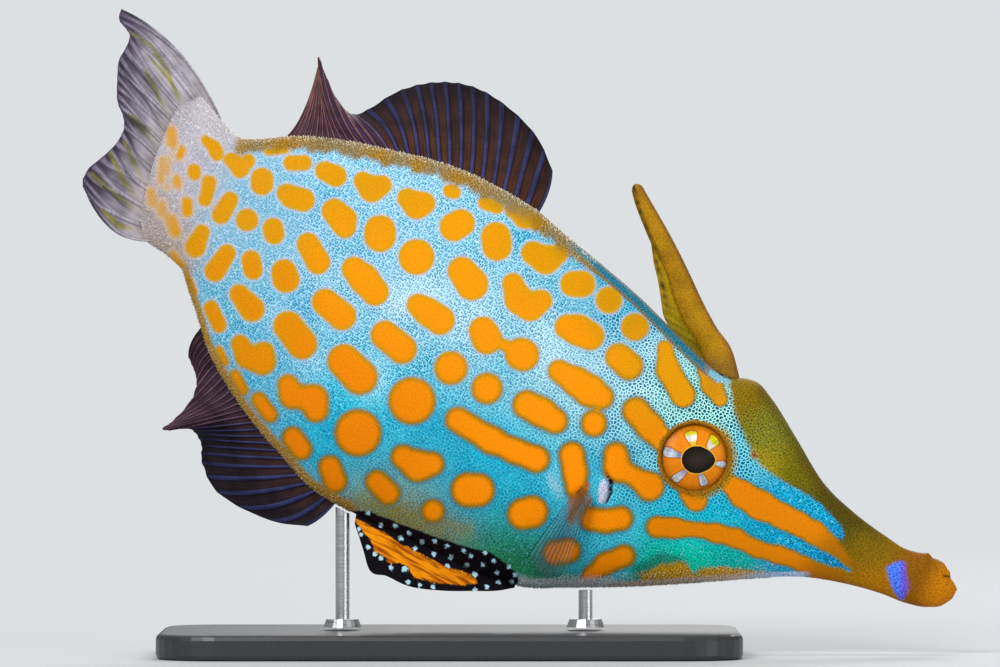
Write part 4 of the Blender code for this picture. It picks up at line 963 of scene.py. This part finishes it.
def make_spinules(material, grid):
    """Short spines of the skin, as slim three-sided cones that lean towards the tail.

    They are coarse and pale along the back and the belly's edge, fine and white on the tail stalk, and low on
    the flanks. Their pale tint is partly their own colour and partly painted glints, more so towards the
    tail, and under the edge of the belly it is also painted light.
    """
    points, u, v, marks = grid
    random = np.random.default_rng(7)
    along, around = np.gradient(points, axis=0), np.gradient(points, axis=1)
    normal = np.cross(along, around)
    size = np.linalg.norm(normal, axis=2)
    normal /= np.maximum(size, 1e-9)[..., None]
    normal *= np.sign(np.sum(normal * (points - to_row(u, 0.0, (back(u) + belly(u)) / 2)), axis=2))[..., None]
    tailwards = along / np.linalg.norm(along, axis=2, keepdims=True)
    from_back, from_belly = back(u) - v, v - belly(u)
    x, y = on_drawing(points)
    clear = (off(x, y, EYE_AT) > 39) & (u > 12) & (marks["flap_black"] < -0.1)
    throat = smooth((2.0 - from_belly) / 0.7) * (u > 17) * (u < 36)
    edge = smooth((1.7 - from_back) / 0.5) * (u > 47) + smooth((1.1 - from_belly) / 0.4) * (u > 17)
    edge = np.maximum(edge, 0.6 * throat)
    edge = np.minimum(edge, 1) * clear
    stalk = smooth((u - 76) / 7) * clear
    densities = (edge, stalk * (1 - edge), clear * (1 - edge) * (1 - stalk))
    for density, kind in zip(densities, SPINULES, strict=True):
        name, spacing, tries, radius, length, paleness = kind
        weight = (density * size).ravel()
        chosen = random.choice(weight.size, tries, p=weight / weight.sum())
        shift = random.uniform(-0.5, 0.5, (tries, 2, 1))
        start, step_along, step_around, out, tail = (
            a.reshape(-1, 3)[chosen] for a in (points, along, around, normal, tailwards)
        )
        root = start + step_along * shift[:, 0] + step_around * shift[:, 1] - out * 0.02
        kept = np.unique(np.floor(root / spacing).astype(int), axis=0, return_index=True)[1]
        chosen, root, out, tail = chosen[kept], root[kept], out[kept], tail[kept]
        count = len(kept)
        beside = np.cross(out, tail)
        scale = random.uniform(0.6, 1.25, (count, 1))
        corners = [
            root + (tail * math.cos(a) + beside * math.sin(a)) * radius * scale
            for a in (0, 2 * math.pi / 3, 4 * math.pi / 3)
        ]
        tip = root + (out + tail * 0.5) * length * scale
        verts = np.stack([*corners, tip], axis=1).reshape(-1, 3)
        first = 4 * np.arange(count)[:, None]
        faces = np.concatenate([first + np.array(f) for f in ((0, 1, 3), (1, 2, 3), (2, 0, 3))], axis=1)
        row, column = np.divmod(chosen, u.shape[1])
        at = np.stack([skin_places()[row] / STALK_END, (column + 0.5) / u.shape[1]], axis=1)
        at = np.clip(at, 0.002, 0.998)
        patch = np.array([(-0.0015, -0.0015), (0.0015, -0.0015), (0.0, 0.0015)])
        unwrap = (at[:, None, None, :] + patch[None, None]).repeat(3, axis=1)
        mark = {
            key: value.reshape(-1, value.shape[-1] if value.ndim > 2 else 1)[chosen]
            for key, value in marks.items()
        }
        spot = smooth(mark["spot"] / 0.15)
        tint = (mark["network"] + mark["dots"]) / 2 * (1 - spot) + mark["spot_tint"] * spot
        tint = tint + (mark["cover"] - tint) * np.clip(mark["cover_amount"], 0, 1)
        from_snout = u.ravel()[chosen][:, None]
        # Paler towards the tail: partly their own pale colour, and partly painted glints.
        pale = paleness * random.uniform(0.35, 1.0, (count, 1)) * smooth((from_snout - 20) / 50)
        # The outermost ones are whiter: pale beads along the back, and under the throat and the belly's edge
        # white made brighter still as painted light, where the edge faces down.
        if name == "edge_spinules":
            whitish = throat + smooth((0.7 - from_back) / 0.4) + (from_belly < 1.2) * (u < 46)
            outermost = whitish.ravel()[chosen]
            pale = (paleness + 0.6 * np.minimum(outermost, 1)[:, None]) * random.uniform(0.2, 1.1, (count, 1))
        tint = tint + (linear("#F4ECD6") - tint) * pale * (1 - 0.88 * spot)
        spines = new_piece(
            name, verts, faces.reshape(-1, 3).tolist(), material, (), unwrap.reshape(-1, 2)
        )
        give(spines.data, tint=np.repeat(tint, 4, axis=0))


def spinule_bone():
    """Enamel-hard tips of the spinules: small and smooth, so that they glint."""
    bone = Surface("spinule_bone", Roughness=0.35, IOR=1.4, Specular_IOR_Level=0.3)
    bone.feed("Base Color", *bone.kept("tint"))
    return bone.material


def fin_web(name, edge_dark, ray_width=0.3, beside_width=0.6, joints=0.12, folds=0.35, clear=None):
    """Fin membrane stretched over bony rays. The web is thin and satin, with a dark line beside each ray.

    Widths are shares of half the gap between two rays. clear is how solid the bare web is, if light gets by.
    """
    fin = Surface(name, Roughness=0.5, Specular_IOR_Level=0.08)
    gap, place, membrane, ray = fin.kept("ray_gap", "fin_place", "membrane", "ray")
    # Fine folds run along the rays, a sixth of a millimetre apart, and cloudy patches lie across them. Both
    # make web and rays lighter and darker: for the folds that is painted light and shade, and for the patches
    # a real change of tone.
    fold = fin.noise(fin.moved(place, (6.0, 0.35, 1.0)), 1.0, 4.0)
    both = fin.sums("ADD", fold, fin.noise(place, BLOTCH_SIZE, 4.0))
    shade = fin.ramp(both, 0.75, 1.25, 1 - folds, 1 + folds, False)
    beside = fin.ramp(gap, beside_width, ray_width, 0.0, 0.8)
    colour = fin.mix(beside, fin.brightened(membrane, shade), edge_dark)
    core = fin.ramp(gap, ray_width + 0.06, ray_width * 0.6)
    # Each ray is made of short joints, parted by faint dark rings.
    outwards = fin.moved(place, (0.0, 1.0, 0.0))
    wave = {"Vector": outwards, "Scale": 1 / JOINT_LENGTH / math.pi, "Distortion": 0.6}
    joint = fin.add("ShaderNodeTexWave", wave, bands_direction="Y").outputs["Fac"]
    jointed = fin.sums("MULTIPLY", fin.ramp(joint, 0.0, 1.0, 1 - joints, 1 + joints / 2, False), shade)
    fin.feed("Base Color", fin.mix(core, colour, fin.brightened(ray, jointed)))
    if clear is not None:
        fin.feed("Alpha", fin.ramp(gap, ray_width + 0.12, ray_width * 0.6, clear, 0.7))
    fin.roughen(fold, 0.3, 0.06)
    return fin.material


def ray_places(count):
    """Where the rays stand along a fin, from 0 to 1, closer together towards its end."""
    share = np.linspace(0, 1, count)
    return share * (RAY_SPREAD - (RAY_SPREAD - 1) * share)


def fin_sheet(roots, stations, station_places, rays, rows, fine, wave=None, forks=0.0, scallop=0.15):
    """Both faces of a fin, with rays as ridges and the web between them drawn in at the edge.

    fine is the number of columns from one ray to the next. forks parts each ray in two towards its tip, by a
    share of the way to the next ray. Returned are the grids of points, and the marks each point wears.
    """
    middle_at = smooth_line([(s, *station[1]) for s, station in zip(station_places, stations, strict=True)])
    tip_at = smooth_line([(s, *station[2]) for s, station in zip(station_places, stations, strict=True)])
    number = np.arange((len(rays) - 1) * fine + 1) / fine
    places = np.interp(number, np.arange(len(rays)), rays)
    up = np.linspace(0, 1, rows)[None, :, None]
    root, middle, tip = roots(places), middle_at(places), tip_at(places)
    between = np.abs(number - np.round(number))[:, None]  # 0 on a ray, a half midway
    bend = 2 * middle - (root + tip) / 2
    reach = up[:, :, 0] * (1 - scallop * (4 * between * (1 - between)) ** 2 * 0.06)
    t = np.broadcast_to(reach, (len(places), rows))[..., None]
    sheet = root[:, None] * (1 - t) ** 2 + 2 * bend[:, None] * t * (1 - t) + tip[:, None] * t**2
    if wave is not None:
        sheet[:, :, 1] += wave(places[:, None], t[..., 0])
    split = forks * smooth((t[..., 0] - 0.35) / 0.5)
    gap = 2 * np.abs(between - 0.5 * split)
    ridge = smooth(1 - gap / 0.38)
    normal = np.cross(np.gradient(sheet, axis=0), np.gradient(sheet, axis=1))
    normal /= np.maximum(np.linalg.norm(normal, axis=2, keepdims=True), 1e-9)
    taper = 1 - 0.75 * t[..., 0] ** 3
    web = 0.1 + 0.32 * np.clip(1 - 6 * t[..., 0], 0, 1) - 0.05 * t[..., 0]
    offset = ((web + 0.2 * ridge * taper)[..., None]) * normal
    length = np.linalg.norm(tip - root, axis=1)[:, None]
    width = np.concatenate([[0], np.cumsum(np.linalg.norm(np.diff(middle, axis=0), axis=1))])[:, None]
    fin_place = np.stack([width + 0 * t[..., 0], length * t[..., 0], 0 * t[..., 0]], axis=-1)
    return sheet + offset, sheet - offset, {"ray_gap": gap, "fin_place": fin_place}, t[..., 0], places


def fin_piece(name, front, rear, material, replaced):
    """A closed piece between the two faces, unwrapped one face above the other."""
    wide, tall = front.shape[:2]

    def on_map(column, row):
        """Places on the lower half of the bake map, inside a narrow margin."""
        return np.stack([column / (wide - 1) * 0.98 + 0.01, row / (tall - 1) * 0.47 + 0.01], axis=-1)

    points = np.concatenate([front.reshape(-1, 3), rear.reshape(-1, 3)])
    shift = wide * tall
    i, j = (a.ravel() for a in np.meshgrid(np.arange(wide - 1), np.arange(tall - 1), indexing="ij"))
    a, b = i * tall + j, (i + 1) * tall + j
    quads = np.stack([a, b, b + 1, a + 1], axis=1)
    flat = on_map(np.array([0, 1, 1, 0]) + i[:, None], np.array([0, 0, 1, 1]) + j[:, None])
    # The rim runs along the root, up the last column, back along the edge and down the first column.
    rim = [k * tall for k in range(wide)] + [(wide - 1) * tall + k for k in range(1, tall)]
    rim += [k * tall + tall - 1 for k in range(wide - 2, -1, -1)] + list(range(tall - 2, 0, -1))
    rim = np.array(rim)
    ahead = np.roll(rim, -1)
    band = np.stack([rim, rim + shift, ahead + shift, ahead], axis=1)
    band_flat = np.stack([on_map(rim // tall, rim % tall)] * 4, axis=1)
    faces = np.concatenate([quads, (quads + shift)[:, ::-1], band])
    unwrap = np.concatenate([flat, (flat + (0.0, 0.5))[:, ::-1], band_flat])
    return new_piece(name, points, faces.tolist(), material, replaced, unwrap.reshape(-1, 2))


def make_fin(name, sheet, material, replaced, colour):
    """Makes the piece and paints it. colour gives the colours of web and rays at a place and reach."""
    front, rear, marks, reach, places = sheet
    piece = fin_piece(name, front, rear, material, replaced)
    x, y = on_drawing((front + rear) / 2)
    membrane, ray = colour(places[:, None] + 0 * reach, reach, x, y)
    both = {key: np.concatenate([value, value]) for key, value in marks.items()}
    give(piece.data, membrane=np.concatenate([membrane, membrane]), ray=np.concatenate([ray, ray]), **both)
    return piece


def outline_sheet(stations, outline, inward, rays, rows, fine, **options):
    """The faces of a fin that grows from the back or the belly, its root sunk in the skin."""
    at = np.array([station[0] for station in stations])
    first, last = at[0], at[-1]

    def roots(places):
        u = first + (last - first) * places
        return to_row(u, 0.0 * u, outline(u) + inward)

    return fin_sheet(roots, stations, (at - first) / (last - first), rays, rows, fine, **options)


def make_soft_fins():
    """Soft dorsal and anal fins: dark webs over violet-blue rays, the hind rays gathered to a point."""
    material = fin_web("dark_fin_web", "#100B10", ray_width=0.31, beside_width=0.66, folds=0.45)

    def dorsal_colour(place, reach, x, y):
        rear = smooth((place - 0.58) / 0.1)
        membrane = blend("#46281A", "#301D18", smooth(reach / 0.6))
        membrane = blend(membrane, "#170F14", smooth((reach - 0.6) / 0.4))
        membrane = blend(membrane, blend("#3A2A48", "#4E3444", smooth((place - 0.6) / 0.3)), rear)
        ray = blend("#363868", "#201F3C", reach)
        return membrane, blend(ray, "#84584C", rear * 0.8)

    def anal_colour(place, reach, x, y):
        rear = smooth((place - 0.5) / 0.1)
        membrane = blend("#3C2826", "#1E161C", smooth(reach / 0.6))
        membrane = blend(membrane, "#34242F", rear)
        ray = blend("#363A68", "#20223E", reach)
        return membrane, blend(ray, "#68464A", rear * 0.75)

    dorsal = outline_sheet(SOFT_DORSAL, back, -0.5, ray_places(SOFT_DORSAL_RAYS), 36, 8)
    make_fin("soft_dorsal_web", dorsal, material, ("soft_dorsal_fin",), dorsal_colour)
    anal = outline_sheet(ANAL, belly, 0.5, ray_places(ANAL_RAYS), 36, 8)
    make_fin("anal_web", anal, material, ("anal_fin",), anal_colour)


def make_caudal_fin():
    """The tail fin: lilac-grey, half folded, with olive streaks, and painted shade in the furrows between its
    rays.
    """
    material = fin_web("tail_fin_web", "#66616E", ray_width=0.2, beside_width=0.36, joints=0.1, folds=0.4)
    heights = np.array([station[0] for station in CAUDAL])

    def roots(places):
        v = heights[0] + (heights[-1] - heights[0]) * places
        return to_row(np.full(len(places), STALK_END - 1.0), 0.0 * v, v * 0.97)

    def pleats(place, reach):
        return PLEAT_DEPTH * reach**1.3 * np.sin(2 * math.pi * CAUDAL_PLEATS * place + 0.6)

    def colour(place, reach, x, y):
        membrane = blend("#A8A2AC", "#584F60", smooth((reach - 0.1) / 0.75))
        upper = smooth((0.26 - place) / 0.14) * smooth((1.1 - reach) / 0.5)
        membrane = blend(membrane, "#A8A2AA", 0.75 * upper)
        membrane = blend(membrane, "#3A3042", 0.85 * smooth((reach - 0.62) / 0.28))
        olive = smooth((within_any(x, y, CAUDAL_OLIVE) + 1.4) / 3)
        # Painted shade in the furrows between the rays.
        dark = smooth((within_any(x, y, CAUDAL_FURROW_SHADE) + 1.2) / 3)
        edge = smooth((reach - 0.93) / 0.07)
        both = []
        # It passes into the skin of the stalk where that ends.
        u, v = to_fish(*from_drawing(x, y))
        near_skin = smooth(1 - (u - STALK_END - skin_over_fin(v)) / 2.8)
        for shade in (membrane, blend("#B6B0BA", "#6E6478", reach)):
            shade = blend(shade, "#7E7A1E", 0.8 * olive)
            shade = blend(shade, "#34323C", 0.8 * dark)
            shade = blend(shade, "#463650", 0.8 * edge)
            both.append(blend(shade, "#A0969A", 0.85 * near_skin))
        return both

    station_places = (heights - heights[0]) / (heights[-1] - heights[0])
    rays = np.linspace(0, 1, CAUDAL_RAYS)
    sheet = fin_sheet(roots, CAUDAL, station_places, rays, 60, 16, wave=pleats, forks=0.5)
    make_fin("tail_fin_web", sheet, material, ("caudal_fin",), colour)


def make_pectoral_fins():
    """Pectoral fins: glass-clear webs that only show by their thin dark rays."""
    material = fin_web("clear_fin_web", "#3A444C", ray_width=0.17, beside_width=0.2, clear=0.03)
    station_places = np.linspace(0, 1, len(PECTORAL))

    def stand_out(point, by, side):
        u, v = to_fish(*point)
        return (point[0], side * (float(flank(u, v)) + by), point[1])

    def colour(place, reach, x, y):
        membrane = blend("#D08A38", "#B4CCD0", smooth(reach / 0.3))
        return membrane, blend("#B87430", "#1C2428", smooth((reach - 0.05) / 0.55))

    for word, side in (("right", RIGHT), ("left", LEFT)):
        stations = [
            (k, *(stand_out(station[i], PECTORAL_STANDS_OUT[i], side) for i in (1, 2)))
            for k, station in enumerate(PECTORAL)
        ]
        starts = [stand_out(station[0], PECTORAL_STANDS_OUT[0], side) for station in PECTORAL]
        roots = smooth_line([(s, *p) for s, p in zip(station_places, starts, strict=True)])
        rays = np.linspace(0, 1, PECTORAL_RAYS)
        sheet = fin_sheet(roots, stations, station_places, rays, 24, 8, scallop=0.8)
        make_fin(f"pectoral_web_{word}", sheet, material, (f"pectoral_fin_{word}",), colour)


def make_flap(material):
    """The loose flap of skin under the belly, in one with the black patch on the body above it."""
    rays = np.linspace(0, 1, 13)
    front, rear, marks, reach, places = outline_sheet(VENTRAL_FLAP, belly, 0.8, rays, 48, 14, scallop=0.0)
    middle = (front + rear) / 2
    half = 0.24 + 0.3 * (1 - reach) ** 2
    ripple = 0.06 * np.sin(2 * math.pi * 11 * places)[:, None] * reach
    front, rear = middle.copy(), middle.copy()
    front[..., 1] += half + ripple
    rear[..., 1] -= half - ripple
    flap = fin_piece("ventral_flap_skin", front, rear, material, ("ventral_flap",))
    points = np.concatenate([front, rear])
    u, v = to_fish(points[..., 0], points[..., 2])
    marks = painted_marks(points, u, np.maximum(v, belly(u) + 3))
    give(flap.data, skin_place=np.stack([u, v, points[..., 1]], axis=-1), **marks)


def spine_skin():
    """Bone of the erect spine under rough ochre skin. It is grainy, and darker down its edges."""
    bone = Surface("spine_skin", Roughness=0.55, Specular_IOR_Level=0.1)
    tint, place = bone.kept("tint", "fish_place")
    # The grains are as small as on the head beside it.
    grains = bone.add("ShaderNodeTexVoronoi", {"Vector": place, "Scale": 1 / SPINE_GRAIN, "Randomness": 0.9})
    grain = bone.ramp(grains.outputs["Distance"], 0.1, 0.6, 1.15, 0.75, False)
    patchy = bone.ramp(bone.noise(place, 2.0, 4.0), 0.35, 0.65, 0.8, 1.15, False)
    bone.feed("Base Color", bone.brightened(tint, bone.sums("MULTIPLY", grain, patchy)))
    bone.roughen(grains.outputs["Distance"], 0.5, 0.08, invert=True)
    return bone.material


def spine_edges():
    """Front and hind edges of the spine, and half its thickness, by the share of its length."""
    roots = [to_row(u, 0.0, back(u) - 0.5)[[0, 2]] for u in (SPINE_ROOT_FRONT_U, SPINE_ROOT_HIND_U)]
    shares = np.linspace(0, 1, len(SPINE_FRONT) + 1)
    front = smooth_line([(s, *p) for s, p in zip(shares, [roots[0], *SPINE_FRONT], strict=True)])
    hind = smooth_line([(s, *p) for s, p in zip(shares, [roots[1], *SPINE_HIND], strict=True)])
    return front, hind, smooth_line(list(zip(shares, SPINE_HALF_THICK, strict=True)))


def blotches(z):
    """How strong the dark line along the hind edge is, in uneven blotches up the spine."""
    return 0.3 + 0.7 * swing(z * 5.3 + 1.3 * np.sin(z * 2.1))


def make_spine(material):
    """The erect spine with two rows of small barbs down its hind edge that point back towards its root."""
    front, hind, thick = spine_edges()
    sides, steps = 28, 90
    turn = 2 * math.pi * np.arange(sides) / sides
    share = 1 - (1 - np.linspace(0, 1, steps)[:, None]) ** 1.6
    rounding = np.sqrt(np.clip(1 - np.clip((share - 0.95) / 0.05, 0, 1) ** 2, 0.01, 1))
    ahead, behind = front(share[:, 0]), hind(share[:, 0])
    centre, reach = (ahead + behind) / 2, (ahead - behind) / 2 * rounding
    groove = 1 - 0.14 * bell(turn - math.pi, 0.3)[None]
    x = centre[:, :1] + reach[:, :1] * np.cos(turn) * groove
    z = centre[:, 1:] + reach[:, 1:] * np.cos(turn) * groove
    y = thick(share[:, 0])[:, None] * rounding * np.sin(turn)
    rings = np.stack([x, y, z], axis=-1)
    points = list(rings.reshape(-1, 3))
    faces = between_rings(steps, sides)
    faces.append(tuple(range(sides))[::-1])
    faces.append(tuple((steps - 1) * sides + j for j in range(sides)))
    for side in (RIGHT, LEFT):
        for k in range(SPINE_BARBS):
            s = 0.1 + 0.82 * k / (SPINE_BARBS - 1)
            edge, way = hind(s), front(s) - hind(s)
            way = way / np.linalg.norm(way)
            down = hind(max(s - 0.03, 0)) - hind(min(s + 0.03, 1))
            down = down / np.linalg.norm(down)
            size = 0.2 * (1 - 0.2 * s)
            out = side * float(thick(s)) * 0.66
            base = edge + way * 0.34
            tip = edge + way * 0.16 + down * size * 0.9
            first = len(points)
            for along, over in ((0.2, 0.0), (0.0, 0.12), (-0.2, 0.0), (0.0, -0.12)):
                spot = base + down * along
                points.append(np.array([spot[0], out + over, spot[1]]))
            points.append(np.array([tip[0], out * 1.25, tip[1]]))
            faces += [(first + m, first + (m + 1) % 4, first + 4) for m in range(4)]
    points = np.array(points)
    spine = new_piece("erect_spine", points, faces, material, ("dorsal_spine",))
    u, v = to_fish(points[:, 0], points[:, 2])
    x, y = on_drawing(points)
    shares = np.linspace(0, 1, 40)
    from_hind = points[:, 0] - np.interp(points[:, 2], hind(shares)[:, 1], hind(shares)[:, 0])
    from_front = np.interp(points[:, 2], front(shares)[:, 1], front(shares)[:, 0]) - points[:, 0]
    tint = blend("#AC7C06", "#84592A", 0.8 * smooth((0.6 - from_front) / 0.5))
    inset = bell(from_hind - 0.35, 0.2)
    tint = blend(tint, "#382C0E", inset * blotches(points[:, 2]) * smooth((points[:, 2] - 38.5) / 3))
    tint = blend(tint, "#8A6426", 0.6 * smooth((y - 345) / 25))
    give(spine.data, tint=tint, fish_place=np.stack([u, points[:, 1], v], axis=-1))


def make_spine_web(material):
    """The low web of skin that ties the spine to the back."""
    hind = spine_edges()[1]
    shares = np.array([s[0] for s in WEB_EDGE])
    station_places = (shares - shares[0]) / (shares[-1] - shares[0])

    def roots(places):
        found = hind(shares[0] + (shares[-1] - shares[0]) * places)
        return np.stack([found[:, 0] + 0.35, 0 * places, found[:, 1]], axis=1)

    starts = roots(station_places)
    stations = [
        (s[0], tuple((start + np.array([s[1], 0, s[2]])) / 2), (s[1], 0.0, s[2]))
        for s, start in zip(WEB_EDGE, starts, strict=True)
    ]
    front, rear, marks, reach, places = fin_sheet(
        roots, stations, station_places, np.linspace(0, 1, 9), 10, 5, scallop=0.0
    )
    web = fin_piece("spine_web_skin", front, rear, material, ("spine_web",))
    points = np.concatenate([front, rear])
    u, v = to_fish(points[..., 0], points[..., 2])
    out, along = np.concatenate([reach, reach]), np.concatenate([places, places])[:, None]
    tint = blend("#C29C06", "#9E7E06", smooth((along - 0.5) / 0.4))
    fanned = smooth((along - 0.45) / 0.2) * swing(along * 55 + out * 3)
    tint = blend(tint, "#6A7408", 0.5 * fanned)
    hind_edge = bell(out - 0.72, 0.22) * smooth((0.75 - along) / 0.3)
    tint = blend(tint, "#382C0E", hind_edge * blotches(points[..., 2]))
    give(web.data, tint=tint, fish_place=np.stack([u, points[..., 1], v], axis=-1))


def wet_iris():
    """Iris of the eye under a wet cornea: fine radial fibres below a coat as clear as glass."""
    eye = Surface(
        "wet_iris", Roughness=0.5, Specular_IOR_Level=0.1,
        Coat_Weight=0.12, Coat_Roughness=0.03, Coat_IOR=1.38,
    )
    pupil, spoke, spoke_tint = eye.kept("pupil", "spoke", "spoke_tint")
    radius, place = eye.kept("iris_radius", "iris_place")
    fibre = eye.noise(place, 1.0, 3.0)
    bar = eye.brightened(spoke_tint, eye.ramp(fibre, 0.3, 0.7, 0.55, 1.2, False))
    hole = eye.mix(eye.ramp(pupil, 0.1, 1.1, soft=False), "#0B0806", "#2E241A")
    colour = eye.mix(fibre, "#CC6600", "#F89400")
    # Each layer lies over those before it: what it follows, where it starts and is full, how strong it is
    # and its colour. The rim is browner, with a line round it. The bars have a shadow, and a golden ring lies
    # round the pupil.
    for source, start, full, strength, tint in (
        (radius, 2.5, 3.15, 0.6, "#A45E06"), (radius, 3.12, 3.28, 1.0, "#7E520E"),
        (spoke, -0.12, 0.0, 0.55, "#3E2A10"), (spoke, 0.0, 0.1, 1.0, bar),
        (pupil, -0.12, -0.06, 1.0, "#F0B030"), (pupil, -0.04, 0.04, 1.0, hole),
    ):
        colour = eye.mix(eye.ramp(source, start, full, 0.0, strength), colour, tint)
    eye.feed("Base Color", colour)
    eye.roughen(fibre, 0.25, 0.05)
    return eye.material


def make_eyes():
    """Each iris is a low dome that sits in the ring of skin, with its pupil drawn to a point at the front."""
    material = wet_iris()
    around, rings = 160, 56
    radius = (np.arange(1, rings + 1) / rings * (IRIS_RADIUS + 0.12))[:, None]
    turn = (2 * math.pi * np.arange(around) / around)[None]
    for word, side in (("right", RIGHT), ("left", LEFT)):
        out = float(flank(*to_fish(*from_drawing(*EYE_AT))))
        middle_x, middle_z = from_drawing(*EYE_AT, out)
        x = np.concatenate([[middle_x], (middle_x + radius * np.cos(turn)).ravel()])
        z = np.concatenate([[middle_z], (middle_z + radius * np.sin(turn)).ravel()])
        gone = np.hypot(x - middle_x, z - middle_z)
        lift = IRIS_BULGE * (1 - (gone / IRIS_RADIUS) ** 2) - EYE_SUNK
        points = np.stack([x, side * (flank(*to_fish(x, z)) + lift), z], axis=-1)
        dx, dy = on_drawing(points)
        faces = [(0, 1 + j, 1 + (j + 1) % around) for j in range(around)]
        for i in range(rings - 1):
            for j in range(around):
                a, b = 1 + i * around + j, 1 + i * around + (j + 1) % around
                faces.append((a, a + around, b + around, b))
        if side == LEFT:
            faces = [face[::-1] for face in faces]
        corners = np.concatenate([np.array(face) for face in faces])
        flat = np.stack([x - middle_x, z - middle_z], axis=-1)[corners] / (2.1 * IRIS_RADIUS) + 0.5
        eye = new_piece(f"iris_{word}", points, faces, material, (f"eye_{word}",), flat)
        spokes = np.stack([
            -2 * np.logaddexp(-within_chain(dx, dy, spoke[:2]) / 2, (gone / DRAWING_STEP - spoke[2]) / 2)
            for spoke in SPOKES
        ])
        yellow = (np.argmax(spokes, axis=0) < YELLOW_SPOKES).astype(float)
        banded = swing(gone * 15 + 2 * np.sin(dx * 0.6))
        silver = blend(blend("#7C7AA0", "#CED8E0", smooth((gone - 1.5) / 0.8)), "#A49AB8", 0.6 * banded)
        golden = blend("#E8B81C", "#E6E0D4", smooth((gone - 1.45) / 0.4))
        golden = blend(golden, "#D8D010", smooth((gone - 2.1) / 0.3))
        spoke_tint = blend(silver, golden, yellow)
        angle = np.arctan2(z - middle_z, x - middle_x)
        fibres = np.stack([np.cos(angle) * 9, np.sin(angle) * 9, gone * 0.8], axis=-1)
        give(
            eye.data, pupil=within_chain(dx, dy, PUPIL) * DRAWING_STEP, spoke=spokes.max(0) * DRAWING_STEP,
            spoke_tint=spoke_tint, iris_radius=gone, iris_place=fibres,
        )


def powder_coated_steel():
    """Steel plate under black powder coat. It is satin, with the faint pebbling of a baked coat."""
    steel = Surface("powder_coated_steel", Roughness=0.42, Coat_Weight=0.1, Base_Color=rgba("#26272A"))
    pebble = steel.noise(steel.add("ShaderNodeTexCoord").outputs["Object"], PEBBLE_SIZE * MM, 2.0)
    steel.feed("Base Color", steel.mix(pebble, "#1D1E20", "#303236"))
    steel.roughen(pebble, 0.35, 0.02)
    return steel.material


def brushed_steel():
    """Stainless rod brushed round its length: bright, with fine rings that spread the glint along it."""
    steel = Surface("brushed_steel", Metallic=1.0, Roughness=0.3)
    turned = steel.moved(steel.add("ShaderNodeTexCoord").outputs["Object"], (0.05, 0.05, 1.0))
    lines = steel.noise(turned, BRUSH_LINE * MM, 3.0)
    steel.feed("Base Color", steel.mix(lines, "#A9ABAE", "#D8D9DB"))
    steel.feed("Roughness", steel.ramp(lines, 0.3, 0.7, 0.22, 0.38, False))
    return steel.material


def finish_stand(frame):
    """Coated plate and brushed rods, on the solids that the frame brings."""
    finishes = (powder_coated_steel, brushed_steel, brushed_steel)
    for node, finish in zip(("stand_base", "stand_rod_front", "stand_rod_hind"), finishes, strict=True):
        material = finish()
        for slot in frame["nodes"][node].material_slots:
            slot.material = material


def make_floor():
    """A pale round of floor that melts into the backdrop, so that no edge of it shows."""
    mesh = bpy.data.meshes.new("floor")
    turns = np.linspace(0, 2 * math.pi, 97)[:-1]
    ring = [(FLOOR_RADIUS * math.cos(turn), FLOOR_RADIUS * math.sin(turn), 0) for turn in turns]
    mesh.from_pydata(ring, [], [tuple(range(len(ring)))])
    floor = bpy.data.objects.new("floor", mesh)
    bpy.context.scene.collection.objects.link(floor)
    matt = Surface("matt_floor", Roughness=0.85, Base_Color=rgba("#B9BBBD"))
    place = matt.add("ShaderNodeTexCoord").outputs["Object"]
    away = matt.add("ShaderNodeVectorMath", {0: place}, operation="LENGTH").outputs["Value"]
    matt.feed("Alpha", matt.ramp(away, *FLOOR_FADES, 1.0, 0.0))
    mesh.materials.append(matt.material)


def light_the_scene():
    """Pale surroundings, a large soft light from the upper left, and weaker ones behind and overhead."""
    world = bpy.data.worlds.new("pale_room")
    bpy.context.scene.world = world
    world.use_nodes = True
    tree = world.node_tree
    ray = add(tree, "ShaderNodeLightPath").outputs["Is Camera Ray"]
    seen = tree.nodes["Background"]
    seen.inputs["Color"].default_value = rgba("#DDE0E2")
    strength = add(tree, "ShaderNodeMapRange", {0: ray, 1: 0.0, 2: 1.0, 3: 0.4, 4: 1.0}).outputs[0]
    tree.links.new(strength, seen.inputs["Strength"])
    for name, place, size, power in LIGHTS:
        lamp = bpy.data.lights.new(name, "AREA")
        lamp.size = size
        lamp.energy = power
        holder = bpy.data.objects.new(name, lamp)
        holder.location = place
        aim = bpy.data.objects.new(name + "_aim", None)
        aim.location = LIT_AT
        look = holder.constraints.new("TRACK_TO")
        look.target = aim
        for obj in (holder, aim):
            bpy.context.scene.collection.objects.link(obj)


def place_camera():
    """Level with the middle of the view and square to the fish's right side."""
    camera = bpy.data.objects.new("camera", bpy.data.cameras.new("camera"))
    camera.location = (CAMERA_X * MM, -CAMERA_FAR * MM, CAMERA_Z * MM)
    camera.rotation_euler = (math.pi / 2, 0, 0)
    camera.data.sensor_width = SENSOR_WIDTH
    camera.data.lens = SENSOR_WIDTH * CAMERA_FAR / VIEW_WIDTH
    camera.data.clip_start, camera.data.clip_end = 0.01, 20
    bpy.context.scene.collection.objects.link(camera)
    bpy.context.scene.camera = camera
    bpy.context.scene.view_settings.view_transform = "Standard"


def main():
    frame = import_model()
    place_camera()
    light_the_scene()
    make_floor()
    skin = spiny_skin()
    grid = make_skin(skin)
    make_spinules(spinule_bone(), grid)
    make_flap(skin)
    make_eyes()
    spine = spine_skin()
    make_spine(spine)
    make_spine_web(spine)
    make_soft_fins()
    make_caudal_fin()
    make_pectoral_fins()
    finish_stand(frame)
    bpy.context.view_layer.update()


main()
